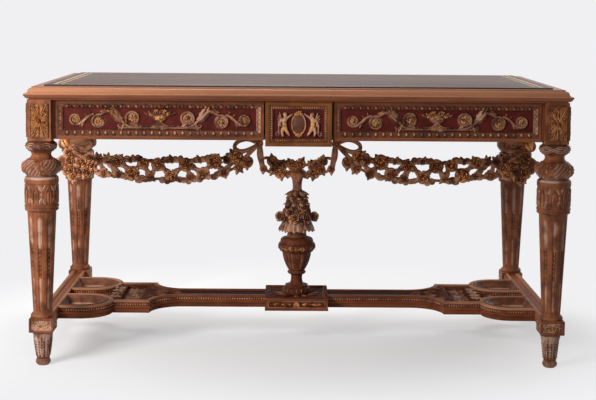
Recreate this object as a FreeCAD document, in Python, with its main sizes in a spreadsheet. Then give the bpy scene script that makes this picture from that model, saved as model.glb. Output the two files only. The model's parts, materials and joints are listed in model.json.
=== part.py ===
import FreeCAD
import Part
import Sketcher
import math
import os
from types import SimpleNamespace

# Carved writing desk in the French neoclassical manner: a leather covered top in a moulded frame,
# three drawers in the frieze, four turned and fluted legs, a flat stretcher with D shaped rings,
# and an urn whose bouquet carries the middle of a flower garland.
# Millimetres. The origin is on the floor under the middle of the top, X runs to the sitter's
# right, the drawers face -Y and Z is up.

SIZES = {
    # whole desk
    "desk_height": 800,
    "top_length": 1530,
    "top_depth": 772,
    "leg_in_x": 41,
    "leg_in_y": 48,
    # top: leather slab on a panel, framed by four mitred moulded rails
    "leather_thick": 4,
    "leather_margin": 29.5,
    "edge_height": 36,
    "edge_width": 60,
    "ledge_in": 20,
    "ledge_step": 3,
    "quirk_width": 1.5,
    "nose_low": 13,
    "nose_high": 18,
    "foot_in": 8,
    "foot_rise": 4,
    "cove_radius": 12,
    "ogee_run": 11,
    "ogee_rise": 24,
    "ogee_radius": 14,
    "scotia_radius": 12,
    # leg, from the floor upwards
    "ball_height": 22,
    "ball_flat": 16,
    "ball_round": 13,
    "ankle_radius": 19,
    "calf_radius": 27,
    "calf_height": 77,
    "dado_side": 68,
    "dado_height": 41,
    "base_ring_radius": 33,
    "base_ring_height": 22,
    "base_ring_round": 14,
    "shaft_low_radius": 27,
    "shaft_high_radius": 40.5,
    "drum_radius": 48.5,
    "drum_height": 100,
    "drum_band": 13,
    "drum_band_out": 2.5,
    "bulb_radius": 45,
    "bulb_round": 32.5,
    "bulb_height": 47,
    "neck_radius": 28,
    "neck_height": 21,
    "torus_radius": 35,
    "torus_round": 16.3,
    "torus_height": 30,
    "block_side": 66,
    "block_height": 117,
    "flute_count": 8,
    "flute_low_radius": 4.2,
    "flute_high_radius": 6.4,
    "flute_low_stop": 14,
    "flute_high_stop": 18,
    # carved plaques on the outer faces of the corner blocks
    "plaque_width": 50,
    "plaque_height": 95,
    "plaque_thick": 3,
    "plaque_boss": 8,
    # frieze
    "recess": 18,
    "apron_thick": 20,
    "apron_height": 112,
    "rail_depth": 60,
    "upper_rail_thick": 10,
    "lower_rail_thick": 12,
    "divider_thick": 16,
    "runner_width": 40,
    "glue_block": 24,
    "glue_block_length": 80,
    # drawers
    "front_thick": 20,
    "front_end_gap": 9.5,
    "side_front_height": 110,
    "centre_front_length": 187,
    "centre_front_height": 123,
    "centre_front_head": 5,
    "side_front_head": 2,
    "front_gap": 4,
    "centre_proud": 9,
    "side_border_x": 22.5,
    "side_border_low": 27,
    "side_border_high": 22,
    "centre_border": 26,
    "panel_sink": 8,
    "carving_thick": 6,
    "box_depth": 460,
    "box_wall": 12,
    "box_floor": 8,
    "box_floor_rise": 4,
    "box_clear_side": 1,
    "box_clear_low": 0.3,
    "box_clear_high": 2,
    "box_guide_in": 6,
    # stretcher
    "stretcher_rise": 2,
    "stretcher_thick": 34,
    "side_rail_width": 40,
    "ring_radius": 83.5,
    "ring_centre_in": 84,
    "ring_centre_y": 121.5,
    "ring_band": 37,
    "ring_heel": 14,
    "end_outer_in": 164,
    "end_corner_in": 278,
    "end_half_width": 127,
    "end_border": 26,
    "bar_flare_in": 374,
    "bar_half_width": 42,
    "flare_radius": 97,
    "carving_plate": 12,
    "carving_hole": 9,
    "plinth_side": 190,
    "plinth_height": 39,
    "plinth_panel_sink": 4,
    "plinth_panel_border": 9,
    # urn and bouquet, drawn for one height between the plinth and the garland
    "stand_height": 360,
    "urn_foot_radius": 41,
    "urn_foot_height": 16,
    "urn_step_radius": 35,
    "urn_step_height": 30,
    "urn_stem_radius": 18,
    "urn_stem_height": 58,
    "urn_ring_radius": 28,
    "urn_ring_height": 70,
    "urn_waist_radius": 26,
    "urn_shoulder_radius": 45,
    "urn_shoulder_height": 130,
    "urn_band_radius": 57,
    "urn_band_low": 136,
    "urn_band_high": 158,
    "urn_lip_radius": 53,
    "urn_height": 176,
    "urn_mouth_radius": 31,
    "bouquet_neck": 14,
    "bouquet_leaf_radius": 50,
    "bouquet_leaf_height": 44,
    "bouquet_core_radius": 30,
    "bouquet_height": 138,
    "flower_radius": 21,
    "flower_ring_low": 66,
    "flower_ring_low_radius": 46,
    "flower_ring_mid": 98,
    "flower_ring_mid_radius": 21,
    "flower_ring_high": 124,
    "flower_ring_high_radius": 19,
    "bouquet_stem_radius": 14.5,
    "bouquet_stem_drop": 122,
    # garland; the drops are measured down from the underside of its rail
    "garland_rail_depth": 40,
    "garland_rail_height": 26,
    "garland_rail_lap": 12,
    "rose_radius": 20,
    "rose_row": 13,
    "rose_pitch": 36,
    "bow_radius": 17,
    "bow_band": 5,
    "twig_radius": 6,
    "swag_outer_in": 98,
    "swag_inner_x": 150,
    "swag_outer_drop": 81,
    "swag_low_in": 218,
    "swag_low_drop": 105,
    "swag_inner_drop": 41,
    "cluster_rose": 25,
    "cluster_pitch_x": 37,
    "cluster_pitch_z": 31,
    "strap_x": 128,
    "strap_radius": 13,
    "strap_knob": 17,
    "strap_drop": 82,
    "centre_drop": 106,
    "centre_rose": 26,
    "centre_flower_x": 62,
    "centre_flower_drop": 92,
    "centre_flower": 24,
    # one overrun for all cuts
    "overrun": 5,
}

doc = FreeCAD.newDocument("desk")
sheet = doc.addObject("Spreadsheet::Sheet", "Sizes")
for row, (name, amount) in enumerate(SIZES.items(), 1):
    sheet.set("A%d" % row, name)
    sheet.set("B%d" % row, str(amount))
    sheet.setAlias("B%d" % row, name)
doc.recompute()


class Size:
    """A number read from the sheet, or worked out from it, with the expression that gives it."""

    def __init__(self, value, text):
        self.value = float(value)
        self.text = text

    def __float__(self):
        return self.value

    def __add__(self, other):
        other = as_size(other)
        return Size(self.value + other.value, "(%s + %s)" % (self.text, other.text))

    def __sub__(self, other):
        other = as_size(other)
        return Size(self.value - other.value, "(%s - %s)" % (self.text, other.text))

    def __mul__(self, other):
        other = as_size(other)
        return Size(self.value * other.value, "(%s * %s)" % (self.text, other.text))

    def __truediv__(self, other):
        other = as_size(other)
        return Size(self.value / other.value, "(%s / %s)" % (self.text, other.text))

    def __neg__(self):
        return Size(-self.value, "(0 - %s)" % self.text)


def as_size(number):
    return number if isinstance(number, Size) else Size(number, repr(number))


def root(size):
    return Size(math.sqrt(size.value), "sqrt(%s)" % size.text)


D = SimpleNamespace(**{name: Size(sheet.get(name), "Sizes." + name) for name in SIZES})
pieces = []


def bind(thing, path, size):
    thing.setExpression(path, as_size(size).text)


def place(thing, x=0, y=0, z=0):
    for axis, size in zip("xyz", (x, y, z)):
        bind(thing, "Placement.Base." + axis, size)


def turn(thing, degrees):
    """Turn a finished piece about the desk's own upright axis."""
    spin = FreeCAD.Rotation(FreeCAD.Vector(0, 0, 1), degrees)
    thing.Placement = FreeCAD.Placement(thing.Placement.Base, spin)


def keep(thing, label):
    thing.Label = label
    pieces.append(thing)
    return thing


def box(label, corner, extent):
    block = doc.addObject("Part::Box", label)
    for path, size in zip(("Length", "Width", "Height"), extent):
        bind(block, path, size)
    place(block, *corner)
    return block


def board(label, corner, extent):
    return keep(box(label, corner, extent), label)


def coded(label, shape):
    """A piece whose solid is worked out here from the sheet's sizes."""
    thing = doc.addObject("Part::Feature", label)
    thing.Shape = shape
    return keep(thing, label)


def new_body(label):
    return doc.addObject("PartDesign::Body", label)


def sketch_on(body, role, name, lift=None):
    plane = [item for item in body.Origin.OriginFeatures if item.Role == role][0]
    sketch = body.newObject("Sketcher::SketchObject", name)
    sketch.AttachmentSupport = [(plane, "")]
    sketch.MapMode = "FlatFace"
    if lift is not None:
        bind(sketch, "AttachmentOffset.Base.z", lift)
    return sketch


def arc_between(start, end, radius, side):
    """The short arc from start to end; side 1 turns left on the way, side -1 turns right."""
    chord = end - start
    half = chord.Length / 2
    rise = radius - math.sqrt(max(radius * radius - half * half, 0))
    normal = FreeCAD.Vector(chord.y, -chord.x, 0).normalize()
    middle = (start + end) / 2 + normal * (rise * side)
    return Part.Arc(start, middle, end)


def outline(sketch, corners):
    """A closed outline through corners of (x, y), or (x, y, radius, side) where an arc arrives."""
    spots = [FreeCAD.Vector(float(c[0]), float(c[1]), 0) for c in corners]
    ends = []
    for index, corner in enumerate(corners):
        start, end = spots[index - 1], spots[index]
        if len(corner) == 2:
            edge = sketch.addGeometry(Part.LineSegment(start, end))
        else:
            edge = sketch.addGeometry(arc_between(start, end, float(corner[2]), corner[3]))
        flipped = (sketch.getPoint(edge, 1) - start).Length > (sketch.getPoint(edge, 2) - start).Length
        ends.append((edge, 2, 1) if flipped else (edge, 1, 2))
    for index, corner in enumerate(corners):
        edge, start_point, end_point = ends[index]
        after, after_start, after_end = ends[(index + 1) % len(ends)]
        sketch.addConstraint(Sketcher.Constraint("Coincident", edge, end_point, after, after_start))
        for kind, axis, size in (("DistanceX", -2, corner[0]), ("DistanceY", -1, corner[1])):
            if isinstance(size, Size):
                rule = sketch.addConstraint(
                    Sketcher.Constraint(kind, -1, 1, edge, end_point, size.value))
                bind(sketch, "Constraints[%d]" % rule, size)
            else:
                sketch.addConstraint(Sketcher.Constraint("PointOnObject", edge, end_point, axis))
        if len(corner) == 4:
            rule = sketch.addConstraint(Sketcher.Constraint("Radius", edge, float(corner[2])))
            bind(sketch, "Constraints[%d]" % rule, corner[2])


def rectangle(x_low, y_low, x_high, y_high):
    return [(x_low, y_low), (x_high, y_low), (x_high, y_high), (x_low, y_high)]


def pad(body, name, sketch, length):
    feature = body.newObject("PartDesign::Pad", name)
    feature.Profile = sketch
    bind(feature, "Length", length)
    sketch.Visibility = False
    return feature


def slab(label, outlines, low, thick):
    """A flat piece cut to one or more closed outlines in plan."""
    body = new_body(label)
    sketch = sketch_on(body, "XY_Plane", label + "_plan", low)
    for corners in outlines:
        outline(sketch, corners)
    pad(body, label + "_pad", sketch, thick)
    return keep(body, label)


# levels and planes that several pieces share
top_x = D.top_length / 2
top_y = D.top_depth / 2
leg_x = top_x - D.leg_in_x
leg_y = top_y - D.leg_in_y
block_half = D.block_side / 2
dado_half = D.dado_side / 2
edge_top = D.desk_height - D.leather_thick
frieze_top = edge_top - D.edge_height
apron_low = frieze_top - D.apron_height
block_inner_x = leg_x - block_half
block_inner_y = leg_y - block_half
face_x = leg_x + block_half - D.recess
face_y = leg_y + block_half - D.recess
dado_low = D.ball_height + D.calf_height
dado_top = dado_low + D.dado_height
stretcher_low = dado_low + D.stretcher_rise
stretcher_top = stretcher_low + D.stretcher_thick
rail_front_y = -(face_y - D.front_thick)
rail_low = apron_low
rail_top = rail_low + D.lower_rail_thick
garland_top = apron_low - D.garland_rail_height
plinth_top = stretcher_low + D.plinth_height
ring_centre_x = leg_x - D.ring_centre_in
end_outer_x = leg_x - D.end_outer_in
end_corner_x = leg_x - D.end_corner_in
bar_flare_x = leg_x - D.bar_flare_in
swag_outer_x = leg_x - D.swag_outer_in
stem_top = garland_top - D.bouquet_stem_drop
stand_share = (stem_top - plinth_top) / D.stand_height
urn_top = plinth_top + D.urn_height * stand_share


def make_top():
    board("top_panel",
          (D.edge_width - top_x, D.edge_width - top_y, frieze_top),
          ((top_x - D.edge_width) * 2, (top_y - D.edge_width) * 2, D.edge_height))
    inset = D.ledge_in + D.leather_margin
    board("leather_top",
          (inset - top_x, inset - top_y, edge_top),
          ((top_x - inset) * 2, (top_y - inset) * 2, D.leather_thick))
    for label, length, nose, degrees in (
            ("top_edge_front", D.top_length, top_y, 0),
            ("top_edge_right", D.top_depth, top_x, 90),
            ("top_edge_back", D.top_length, top_y, 180),
            ("top_edge_left", D.top_depth, top_x, 270)):
        make_top_edge(label, length, nose, degrees)


def make_top_edge(label, length, nose, degrees):
    """One moulded rail of the top, nose outwards, mitred at both ends."""
    body = new_body(label)
    profile = sketch_on(body, "YZ_Plane", label + "_profile", -(length / 2))
    base = frieze_top
    outline(profile, [
        (D.edge_width - nose, base),
        (D.edge_width - nose, base + D.edge_height),
        (D.ledge_in - nose, base + D.edge_height),
        (D.ledge_in - nose, base + D.edge_height - D.ledge_step),
        (D.ledge_in - D.quirk_width - nose, base + D.edge_height - D.ledge_step),
        (D.ogee_run - nose, base + D.ogee_rise, D.scotia_radius, -1),
        (-nose, base + D.nose_high, D.ogee_radius, 1),
        (-nose, base + D.nose_low),
        (D.foot_in - nose, base + D.foot_rise, D.cove_radius, -1),
        (D.foot_in - nose, base)])
    pad(body, label + "_run", profile, length)
    mitre = sketch_on(body, "XY_Plane", label + "_mitre")
    near = -nose - D.overrun
    far = D.edge_width - nose + D.overrun
    for side in (1, -1):
        outline(mitre, [
            ((length / 2 + D.overrun) * side, near),
            ((length / 2 + D.overrun) * side, far),
            ((length / 2 - D.edge_width - D.overrun) * side, far)])
    cut = body.newObject("PartDesign::Pocket", label + "_cut")
    cut.Profile = mitre
    cut.Type = "ThroughAll"
    cut.Reversed = True
    mitre.Visibility = False
    turn(body, degrees)
    keep(body, label)


def make_leg(label, side_x, side_y):
    body = new_body(label)
    ring_top = dado_top + D.base_ring_height
    torus_low = frieze_top - D.block_height - D.torus_height
    neck_low = torus_low - D.neck_height
    bulb_low = neck_low - D.bulb_height
    drum_low = bulb_low - D.drum_height
    band = D.drum_radius + D.drum_band_out
    turned = sketch_on(body, "XZ_Plane", label + "_turning")
    outline(turned, [
        (0, 0),
        (D.ball_flat, 0),
        (D.ankle_radius, D.ball_height, D.ball_round, 1),
        (D.calf_radius, dado_low),
        (D.calf_radius, dado_top),
        (D.base_ring_radius, dado_top),
        (D.shaft_low_radius, ring_top, D.base_ring_round, 1),
        (D.shaft_high_radius, drum_low),
        (band, drum_low),
        (band, drum_low + D.drum_band),
        (D.drum_radius, drum_low + D.drum_band),
        (D.drum_radius, bulb_low - D.drum_band),
        (band, bulb_low - D.drum_band),
        (band, bulb_low),
        (D.bulb_radius, bulb_low),
        (D.bulb_radius, neck_low, D.bulb_round, 1),
        (D.neck_radius, neck_low),
        (D.neck_radius, torus_low),
        (D.torus_radius, torus_low),
        (D.torus_radius, torus_low + D.torus_height, D.torus_round, 1),
        (0, torus_low + D.torus_height)])
    spin = body.newObject("PartDesign::Revolution", label + "_turned")
    spin.Profile = turned
    spin.ReferenceAxis = (turned, ["V_Axis"])
    spin.Angle = 360
    for name, half, low, height in (
            ("_dado", dado_half, dado_low, D.dado_height),
            ("_block", block_half, frieze_top - D.block_height, D.block_height)):
        square = sketch_on(body, "XY_Plane", label + name + "_plan", low)
        outline(square, rectangle(-half, -half, half, half))
        pad(body, label + name, square, height)
    slope = (D.shaft_high_radius - D.shaft_low_radius) / (drum_low - ring_top)
    rings = []
    for name, radius, up in (
            ("_flute_low", D.flute_low_radius, D.flute_low_stop),
            ("_flute_high", D.flute_high_radius, drum_low - ring_top - D.flute_high_stop)):
        round_end = sketch_on(body, "XY_Plane", label + name, ring_top + up)
        hub = FreeCAD.Vector(float(D.shaft_low_radius + slope * up), 0, 0)
        circle = round_end.addGeometry(Part.Circle(hub, FreeCAD.Vector(0, 0, 1), float(radius)))
        round_end.addConstraint(Sketcher.Constraint("PointOnObject", circle, 3, -1))
        for kind, place_rule, size in (
                ("DistanceX", (-1, 1, circle, 3), D.shaft_low_radius + slope * up),
                ("Radius", (circle,), radius)):
            rule = round_end.addConstraint(Sketcher.Constraint(kind, *place_rule, float(size)))
            bind(round_end, "Constraints[%d]" % rule, size)
        rings.append(round_end)
    flute = body.newObject("PartDesign::SubtractiveLoft", label + "_flute")
    flute.Profile = rings[0]
    flute.Sections = [rings[1]]
    flute.Ruled = True
    around = body.newObject("PartDesign::PolarPattern", label + "_flutes")
    around.Originals = [flute]
    around.Axis = (turned, ["V_Axis"])
    around.Angle = 360
    bind(around, "Occurrences", D.flute_count)
    body.Tip = around
    place(body, leg_x * side_x, leg_y * side_y)
    keep(body, label)


def make_legs():
    for end, side_y in (("front", -1), ("back", 1)):
        for hand, side_x in (("left", -1), ("right", 1)):
            make_leg("leg_%s_%s" % (end, hand), side_x, side_y)


def make_plaques():
    """A raised carved plaque with a boss on the two outer faces of each corner block."""
    wide, high, thick = float(D.plaque_width), float(D.plaque_height), float(D.plaque_thick)
    half = float(block_half)
    level = float(frieze_top - D.block_height / 2)
    blank = Part.makeBox(wide, thick, high, FreeCAD.Vector(-wide / 2, -half - thick, level - high / 2))
    boss_spot = FreeCAD.Vector(0, -half - thick, level)
    boss = Part.makeCylinder(float(D.plaque_boss), thick, boss_spot, FreeCAD.Vector(0, -1, 0))
    carved = blank.fuse(boss).removeSplitter()
    copies = []
    for side_x in (-1, 1):
        for side_y in (-1, 1):
            for degrees in (90 + 90 * side_y, 90 * side_x):
                copy = carved.copy()
                copy.rotate(FreeCAD.Vector(0, 0, 0), FreeCAD.Vector(0, 0, 1), degrees)
                copy.translate(FreeCAD.Vector(side_x * float(leg_x), side_y * float(leg_y), 0))
                copies.append(copy)
    coded("corner_plaques", Part.Compound(copies))


def make_frieze():
    for label, low_x in (("apron_left", -face_x), ("apron_right", face_x - D.apron_thick)):
        board(label, (low_x, -block_inner_y, apron_low),
              (D.apron_thick, block_inner_y * 2, D.apron_height))
    board("apron_back", (-block_inner_x, face_y - D.apron_thick, apron_low),
          (block_inner_x * 2, D.apron_thick, D.apron_height))
    board("front_upper_rail", (-block_inner_x, rail_front_y, frieze_top - D.upper_rail_thick),
          (block_inner_x * 2, D.rail_depth, D.upper_rail_thick))
    board("front_lower_rail", (-block_inner_x, rail_front_y, rail_low),
          (block_inner_x * 2, D.rail_depth, D.lower_rail_thick))
    run = face_y - D.apron_thick - rail_front_y - D.rail_depth
    for label, middle in (("divider_left", -divider_x), ("divider_right", divider_x)):
        board(label, (middle - D.divider_thick / 2, rail_front_y + D.rail_depth, rail_low),
              (D.divider_thick, run, D.apron_height))
    make_runners(run)
    lap = face_x - D.garland_rail_lap
    board("garland_rail", (-lap, -(D.garland_rail_depth / 2), garland_top),
          (lap * 2, D.garland_rail_depth, D.garland_rail_height))
    make_glue_blocks()


def make_runners(run):
    """Hardwood strips under the drawers, with a guide beside each outer drawer."""
    y_low = rail_front_y + D.rail_depth
    wall = divider_x + D.divider_thick / 2
    inner = divider_x - D.divider_thick / 2
    guide_x = side_outer_x - D.box_guide_in + D.box_clear_side
    apron_x = face_x - D.apron_thick
    outer_run = block_inner_y - y_low
    strip = D.runner_width
    thick = D.lower_rail_thick
    strips = {"runners_centre": [], "runners_left": [], "runners_right": []}
    for side, group in ((-1, "runners_left"), (1, "runners_right")):
        strips["runners_centre"].append((inner - strip, inner, side, y_low, run, rail_low, thick))
        strips[group].append((wall, wall + strip, side, y_low, run, rail_low, thick))
        strips[group].append((guide_x - strip, apron_x, side, y_low, outer_run, rail_low, thick))
        strips[group].append((guide_x, apron_x, side, y_low, outer_run,
                              rail_top, D.apron_height - D.lower_rail_thick))
    for group, rows in strips.items():
        solids = []
        for x_low, x_high, side, y, deep, z, high in rows:
            x = x_low if side > 0 else -x_high
            corner = FreeCAD.Vector(float(x), float(y), float(z))
            solids.append(Part.makeBox(float(x_high - x_low), float(deep), float(high), corner))
        coded(group, Part.Compound(solids))


def make_glue_blocks():
    """Blocks glued in the corner between the top and the back apron."""
    side, length = float(D.glue_block), float(D.glue_block_length)
    level = float(frieze_top) - side
    back = float(face_y - D.apron_thick)
    third = float(block_inner_x + divider_x) / 2
    blocks = []
    for x in (-third, 0, third):
        corner = FreeCAD.Vector(x - length / 2, back - side, level)
        blocks.append(Part.makeBox(length, side, side, corner))
    coded("glue_blocks", Part.Compound(blocks))


def make_drawer(name, x_low, x_high, front_low, front_high, proud, box_low_x, box_high_x, borders):
    """A drawer with a sunk front panel, two sides, a back and a floor let in between them."""
    face = -face_y - proud
    left, right, low, high = borders
    blank = box(name + "_front_blank", (x_low, face, front_low),
                (x_high - x_low, rail_front_y - face, front_high - front_low))
    sunk = box(name + "_front_sinking", (x_low + left, face - D.overrun, front_low + low),
               (x_high - x_low - left - right, D.panel_sink + D.overrun,
                front_high - front_low - low - high))
    front = doc.addObject("Part::Cut", name + "_front")
    front.Base = blank
    front.Tool = sunk
    keep(front, name + "_front")
    box_low = rail_top + D.box_clear_low
    box_high = frieze_top - D.upper_rail_thick - D.box_clear_high
    height = box_high - box_low
    wall = D.box_wall
    for hand, x in (("left", box_low_x), ("right", box_high_x - wall)):
        board("%s_side_%s" % (name, hand), (x, rail_front_y, box_low), (wall, D.box_depth, height))
    span = box_high_x - box_low_x - wall * 2
    board(name + "_back", (box_low_x + wall, rail_front_y + D.box_depth - wall, box_low),
          (span, wall, height))
    board(name + "_floor", (box_low_x + wall, rail_front_y, box_low + D.box_floor_rise),
          (span, D.box_depth - wall, D.box_floor))
    return face + D.panel_sink


def make_drawers():
    side_low = frieze_top - D.side_front_head - D.side_front_height
    side_high = frieze_top - D.side_front_head
    borders = (D.side_border_x, D.side_border_x, D.side_border_low, D.side_border_high)
    wall_in = divider_x + D.divider_thick / 2 + D.box_clear_side
    wall_out = side_outer_x - D.box_guide_in
    ground = make_drawer("drawer_left", -side_outer_x, -side_inner_x, side_low, side_high, 0,
                         -wall_out, -wall_in, borders)
    make_drawer("drawer_right", side_inner_x, side_outer_x, side_low, side_high, 0,
                wall_in, wall_out, borders)
    middle_z = side_low + (D.side_front_height + D.side_border_low - D.side_border_high) / 2
    for side, name in ((-1, "drawer_left"), (1, "drawer_right")):
        middle_x = (side_outer_x + side_inner_x) / 2 * side
        coded(name + "_carving", scroll_carving(middle_x, ground, middle_z))
    half = D.centre_front_length / 2
    centre_high = frieze_top - D.centre_front_head
    centre_low = centre_high - D.centre_front_height
    box_half = divider_x - D.divider_thick / 2 - D.box_clear_side
    frame = (D.centre_border,) * 4
    centre_ground = make_drawer("drawer_centre", -half, half, centre_low, centre_high, D.centre_proud,
                                -box_half, box_half, frame)
    coded("drawer_centre_carving", cartouche(centre_ground, centre_low + D.centre_front_height / 2))


def scroll_carving(middle_x, ground, middle_z):
    """Flat relief of a flower vase between scrolling stems that end in volutes."""
    x, y, z = float(middle_x), float(ground), float(middle_z)
    thick = float(D.carving_thick)
    reach = float((side_outer_x - side_inner_x) / 2 - D.side_border_x)
    high = float(D.side_front_height - D.side_border_low - D.side_border_high)
    forward = FreeCAD.Vector(0, -1, 0)
    volute_shares = ((0.88, 0.28), (0.64, 0.34), (0.29, 0.33))
    stem_share, vase_share, leaf_share = 0.1, 0.38, 0.2
    stem = high * stem_share
    bar = Part.makeBox(reach * 2 * volute_shares[0][0], thick, stem,
                       FreeCAD.Vector(x - reach * volute_shares[0][0], y - thick, z - stem / 2))
    vase = Part.makeCylinder(high * vase_share, thick, FreeCAD.Vector(x, y, z), forward)
    forms = [vase]
    for side in (-1, 1):
        for place_share, size_share in volute_shares:
            spot = FreeCAD.Vector(x + side * reach * place_share, y, z)
            forms.append(Part.makeCylinder(high * size_share, thick, spot, forward))
        leaf_x = x + side * reach * (volute_shares[1][0] + volute_shares[2][0]) / 2
        forms.append(Part.makeCylinder(high * leaf_share, thick, FreeCAD.Vector(leaf_x, y, z), forward))
    return bar.multiFuse(forms).removeSplitter()


def cartouche(ground, middle_z):
    """Oval shield held between two small upright figures, as a flat relief."""
    y, z = float(ground), float(middle_z)
    thick = float(D.carving_thick)
    high = float(D.centre_front_height - D.centre_border * 2)
    forward = FreeCAD.Vector(0, -1, 0)
    shield_share, figure_share, head_share, spread_share = 0.3, 0.15, 0.11, 0.42
    shield = Part.makeCylinder(high * shield_share, thick, FreeCAD.Vector(0, y, z), forward)
    forms = []
    for side in (-1, 1):
        x = side * high * spread_share
        width = high * figure_share * 2
        low = FreeCAD.Vector(x - width / 2, y - thick, z - high * spread_share)
        forms.append(Part.makeBox(width, thick, high * spread_share * 2, low))
        crown = FreeCAD.Vector(x, y, z + high * (spread_share - head_share / 2))
        forms.append(Part.makeCylinder(high * head_share, thick, crown, forward))
    return shield.multiFuse(forms).removeSplitter()


def make_stretcher():
    rail_in = leg_x - D.side_rail_width / 2
    for hand, x in (("left", -leg_x), ("right", leg_x)):
        board("stretcher_rail_" + hand, (x - D.side_rail_width / 2, dado_half - leg_y, stretcher_low),
              (D.side_rail_width, (leg_y - dado_half) * 2, D.stretcher_thick))
    for hand, degrees, side_x in (("left", 180, -1), ("right", 0, 1)):
        make_stretcher_end(hand, degrees)
        for end, side_y in (("front", -1), ("back", 1)):
            ring = slab("stretcher_ring_%s_%s" % (hand, end), ring_outlines(rail_in),
                        stretcher_low, D.stretcher_thick)
            turn(ring, degrees)
            bind(ring, "Placement.Base.y", D.ring_centre_y * side_y)
        coded("stretcher_carving_" + hand, pierced_carvings(side_x, float(rail_in)))
    make_plinth()


def ring_outlines(rail_in):
    """A D shaped ring, its straight heel against the side rail, its tip cut flat at the bar's end."""
    centre, outer = ring_centre_x, D.ring_radius
    inner = outer - D.ring_band
    run = centre - end_outer_x
    chord = root(outer * outer - run * run)
    heel = rail_in - D.ring_heel
    tip = end_outer_x
    return [
        [(rail_in, -outer), (rail_in, outer), (centre, outer), (tip, chord, outer, 1),
         (tip, -chord), (centre, -outer, outer, 1)],
        [(heel, -inner), (heel, inner), (centre, inner), (centre - inner, 0, inner, 1),
         (centre, -inner, inner, 1)]]


def make_stretcher_end(hand, degrees):
    """The bar from the plinth, flared by two hollow curves to a wide end with a pierced field."""
    plinth_x = D.plinth_side / 2
    half, wide = D.bar_half_width, D.end_half_width
    field_x = end_corner_x + D.end_border
    field_y = wide - D.end_border
    body = slab("stretcher_bar_" + hand, [
        [(end_outer_x, -wide), (end_outer_x, wide), (end_corner_x, wide),
         (bar_flare_x, half, D.flare_radius, -1), (plinth_x, half), (plinth_x, -half),
         (bar_flare_x, -half), (end_corner_x, -wide, D.flare_radius, -1)],
        rectangle(field_x, -field_y, end_outer_x - D.end_border, field_y)],
        stretcher_low, D.stretcher_thick)
    turn(body, degrees)


def pierced_carvings(side_x, rail_in):
    """Two pierced leaf panels: one between the rings, one in the field of the wide end."""
    plate, hole = float(D.carving_plate), float(D.carving_hole)
    low = float(stretcher_low + D.stretcher_thick / 2) - plate / 2
    border = float(D.end_border)
    fields = (
        (float(end_corner_x) + border, float(end_outer_x) - border, float(D.end_half_width) - border),
        (float(end_outer_x), rail_in, float(D.ring_centre_y - D.ring_radius)))
    panels = []
    for x_low, x_high, half in fields:
        wide = x_high - x_low
        panel = Part.makeBox(wide, half * 2, plate, FreeCAD.Vector(x_low, -half, low))
        across = max(int(wide / (hole * 4)), 1)
        along = max(int(half / (hole * 2)), 1)
        for column in range(across):
            for line in range(along):
                x = x_low + wide * (column + 0.5) / across
                y = -half + half * 2 * (line + 0.5) / along
                panel = panel.cut(Part.makeCylinder(hole, plate, FreeCAD.Vector(x, y, low)))
        panels.append(panel)
    pair = Part.Compound(panels)
    if side_x < 0:
        pair.rotate(FreeCAD.Vector(0, 0, 0), FreeCAD.Vector(0, 0, 1), 180)
    return pair


def make_plinth():
    half = D.plinth_side / 2
    blank = box("plinth_blank", (-half, -half, stretcher_low),
                (D.plinth_side, D.plinth_side, D.plinth_height))
    border = D.plinth_panel_border
    tools = []
    for side, name in ((-1, "front"), (1, "back")):
        y = half - D.plinth_panel_sink if side > 0 else -half - D.overrun
        tools.append(box("plinth_panel_" + name, (border - half, y, stretcher_low + border),
                         ((half - border) * 2, D.plinth_panel_sink + D.overrun,
                          D.plinth_height - border * 2)))
    sunk = doc.addObject("Part::MultiFuse", "plinth_panels")
    sunk.Shapes = tools
    plinth = doc.addObject("Part::Cut", "plinth")
    plinth.Base = blank
    plinth.Tool = sunk
    keep(plinth, "plinth")


def make_urn():
    body = new_body("urn")
    turned = sketch_on(body, "XZ_Plane", "urn_turning")
    base = plinth_top
    steps = [(radius * stand_share, base + rise * stand_share) for radius, rise in (
        (D.urn_foot_radius, D.urn_foot_height),
        (D.urn_step_radius, D.urn_foot_height),
        (D.urn_step_radius, D.urn_step_height),
        (D.urn_stem_radius, D.urn_step_height),
        (D.urn_stem_radius, D.urn_stem_height),
        (D.urn_ring_radius, D.urn_stem_height),
        (D.urn_ring_radius, D.urn_ring_height),
        (D.urn_waist_radius, D.urn_ring_height),
        (D.urn_shoulder_radius, D.urn_shoulder_height),
        (D.urn_band_radius, D.urn_band_low),
        (D.urn_band_radius, D.urn_band_high),
        (D.urn_lip_radius, D.urn_height))]
    outline(turned, [(0, base), (D.urn_foot_radius * stand_share, base), *steps, (0, urn_top)])
    spin = body.newObject("PartDesign::Revolution", "urn_turned")
    spin.Profile = turned
    spin.ReferenceAxis = (turned, ["V_Axis"])
    spin.Angle = 360
    keep(body, "urn")


def flower_ring(count, radius, level, size, offset_share):
    flowers = []
    for index in range(count):
        angle = math.tau * (index + offset_share) / count
        spot = FreeCAD.Vector(radius * math.cos(angle), radius * math.sin(angle), level)
        flowers.append(Part.makeSphere(size, spot))
    return flowers


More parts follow.
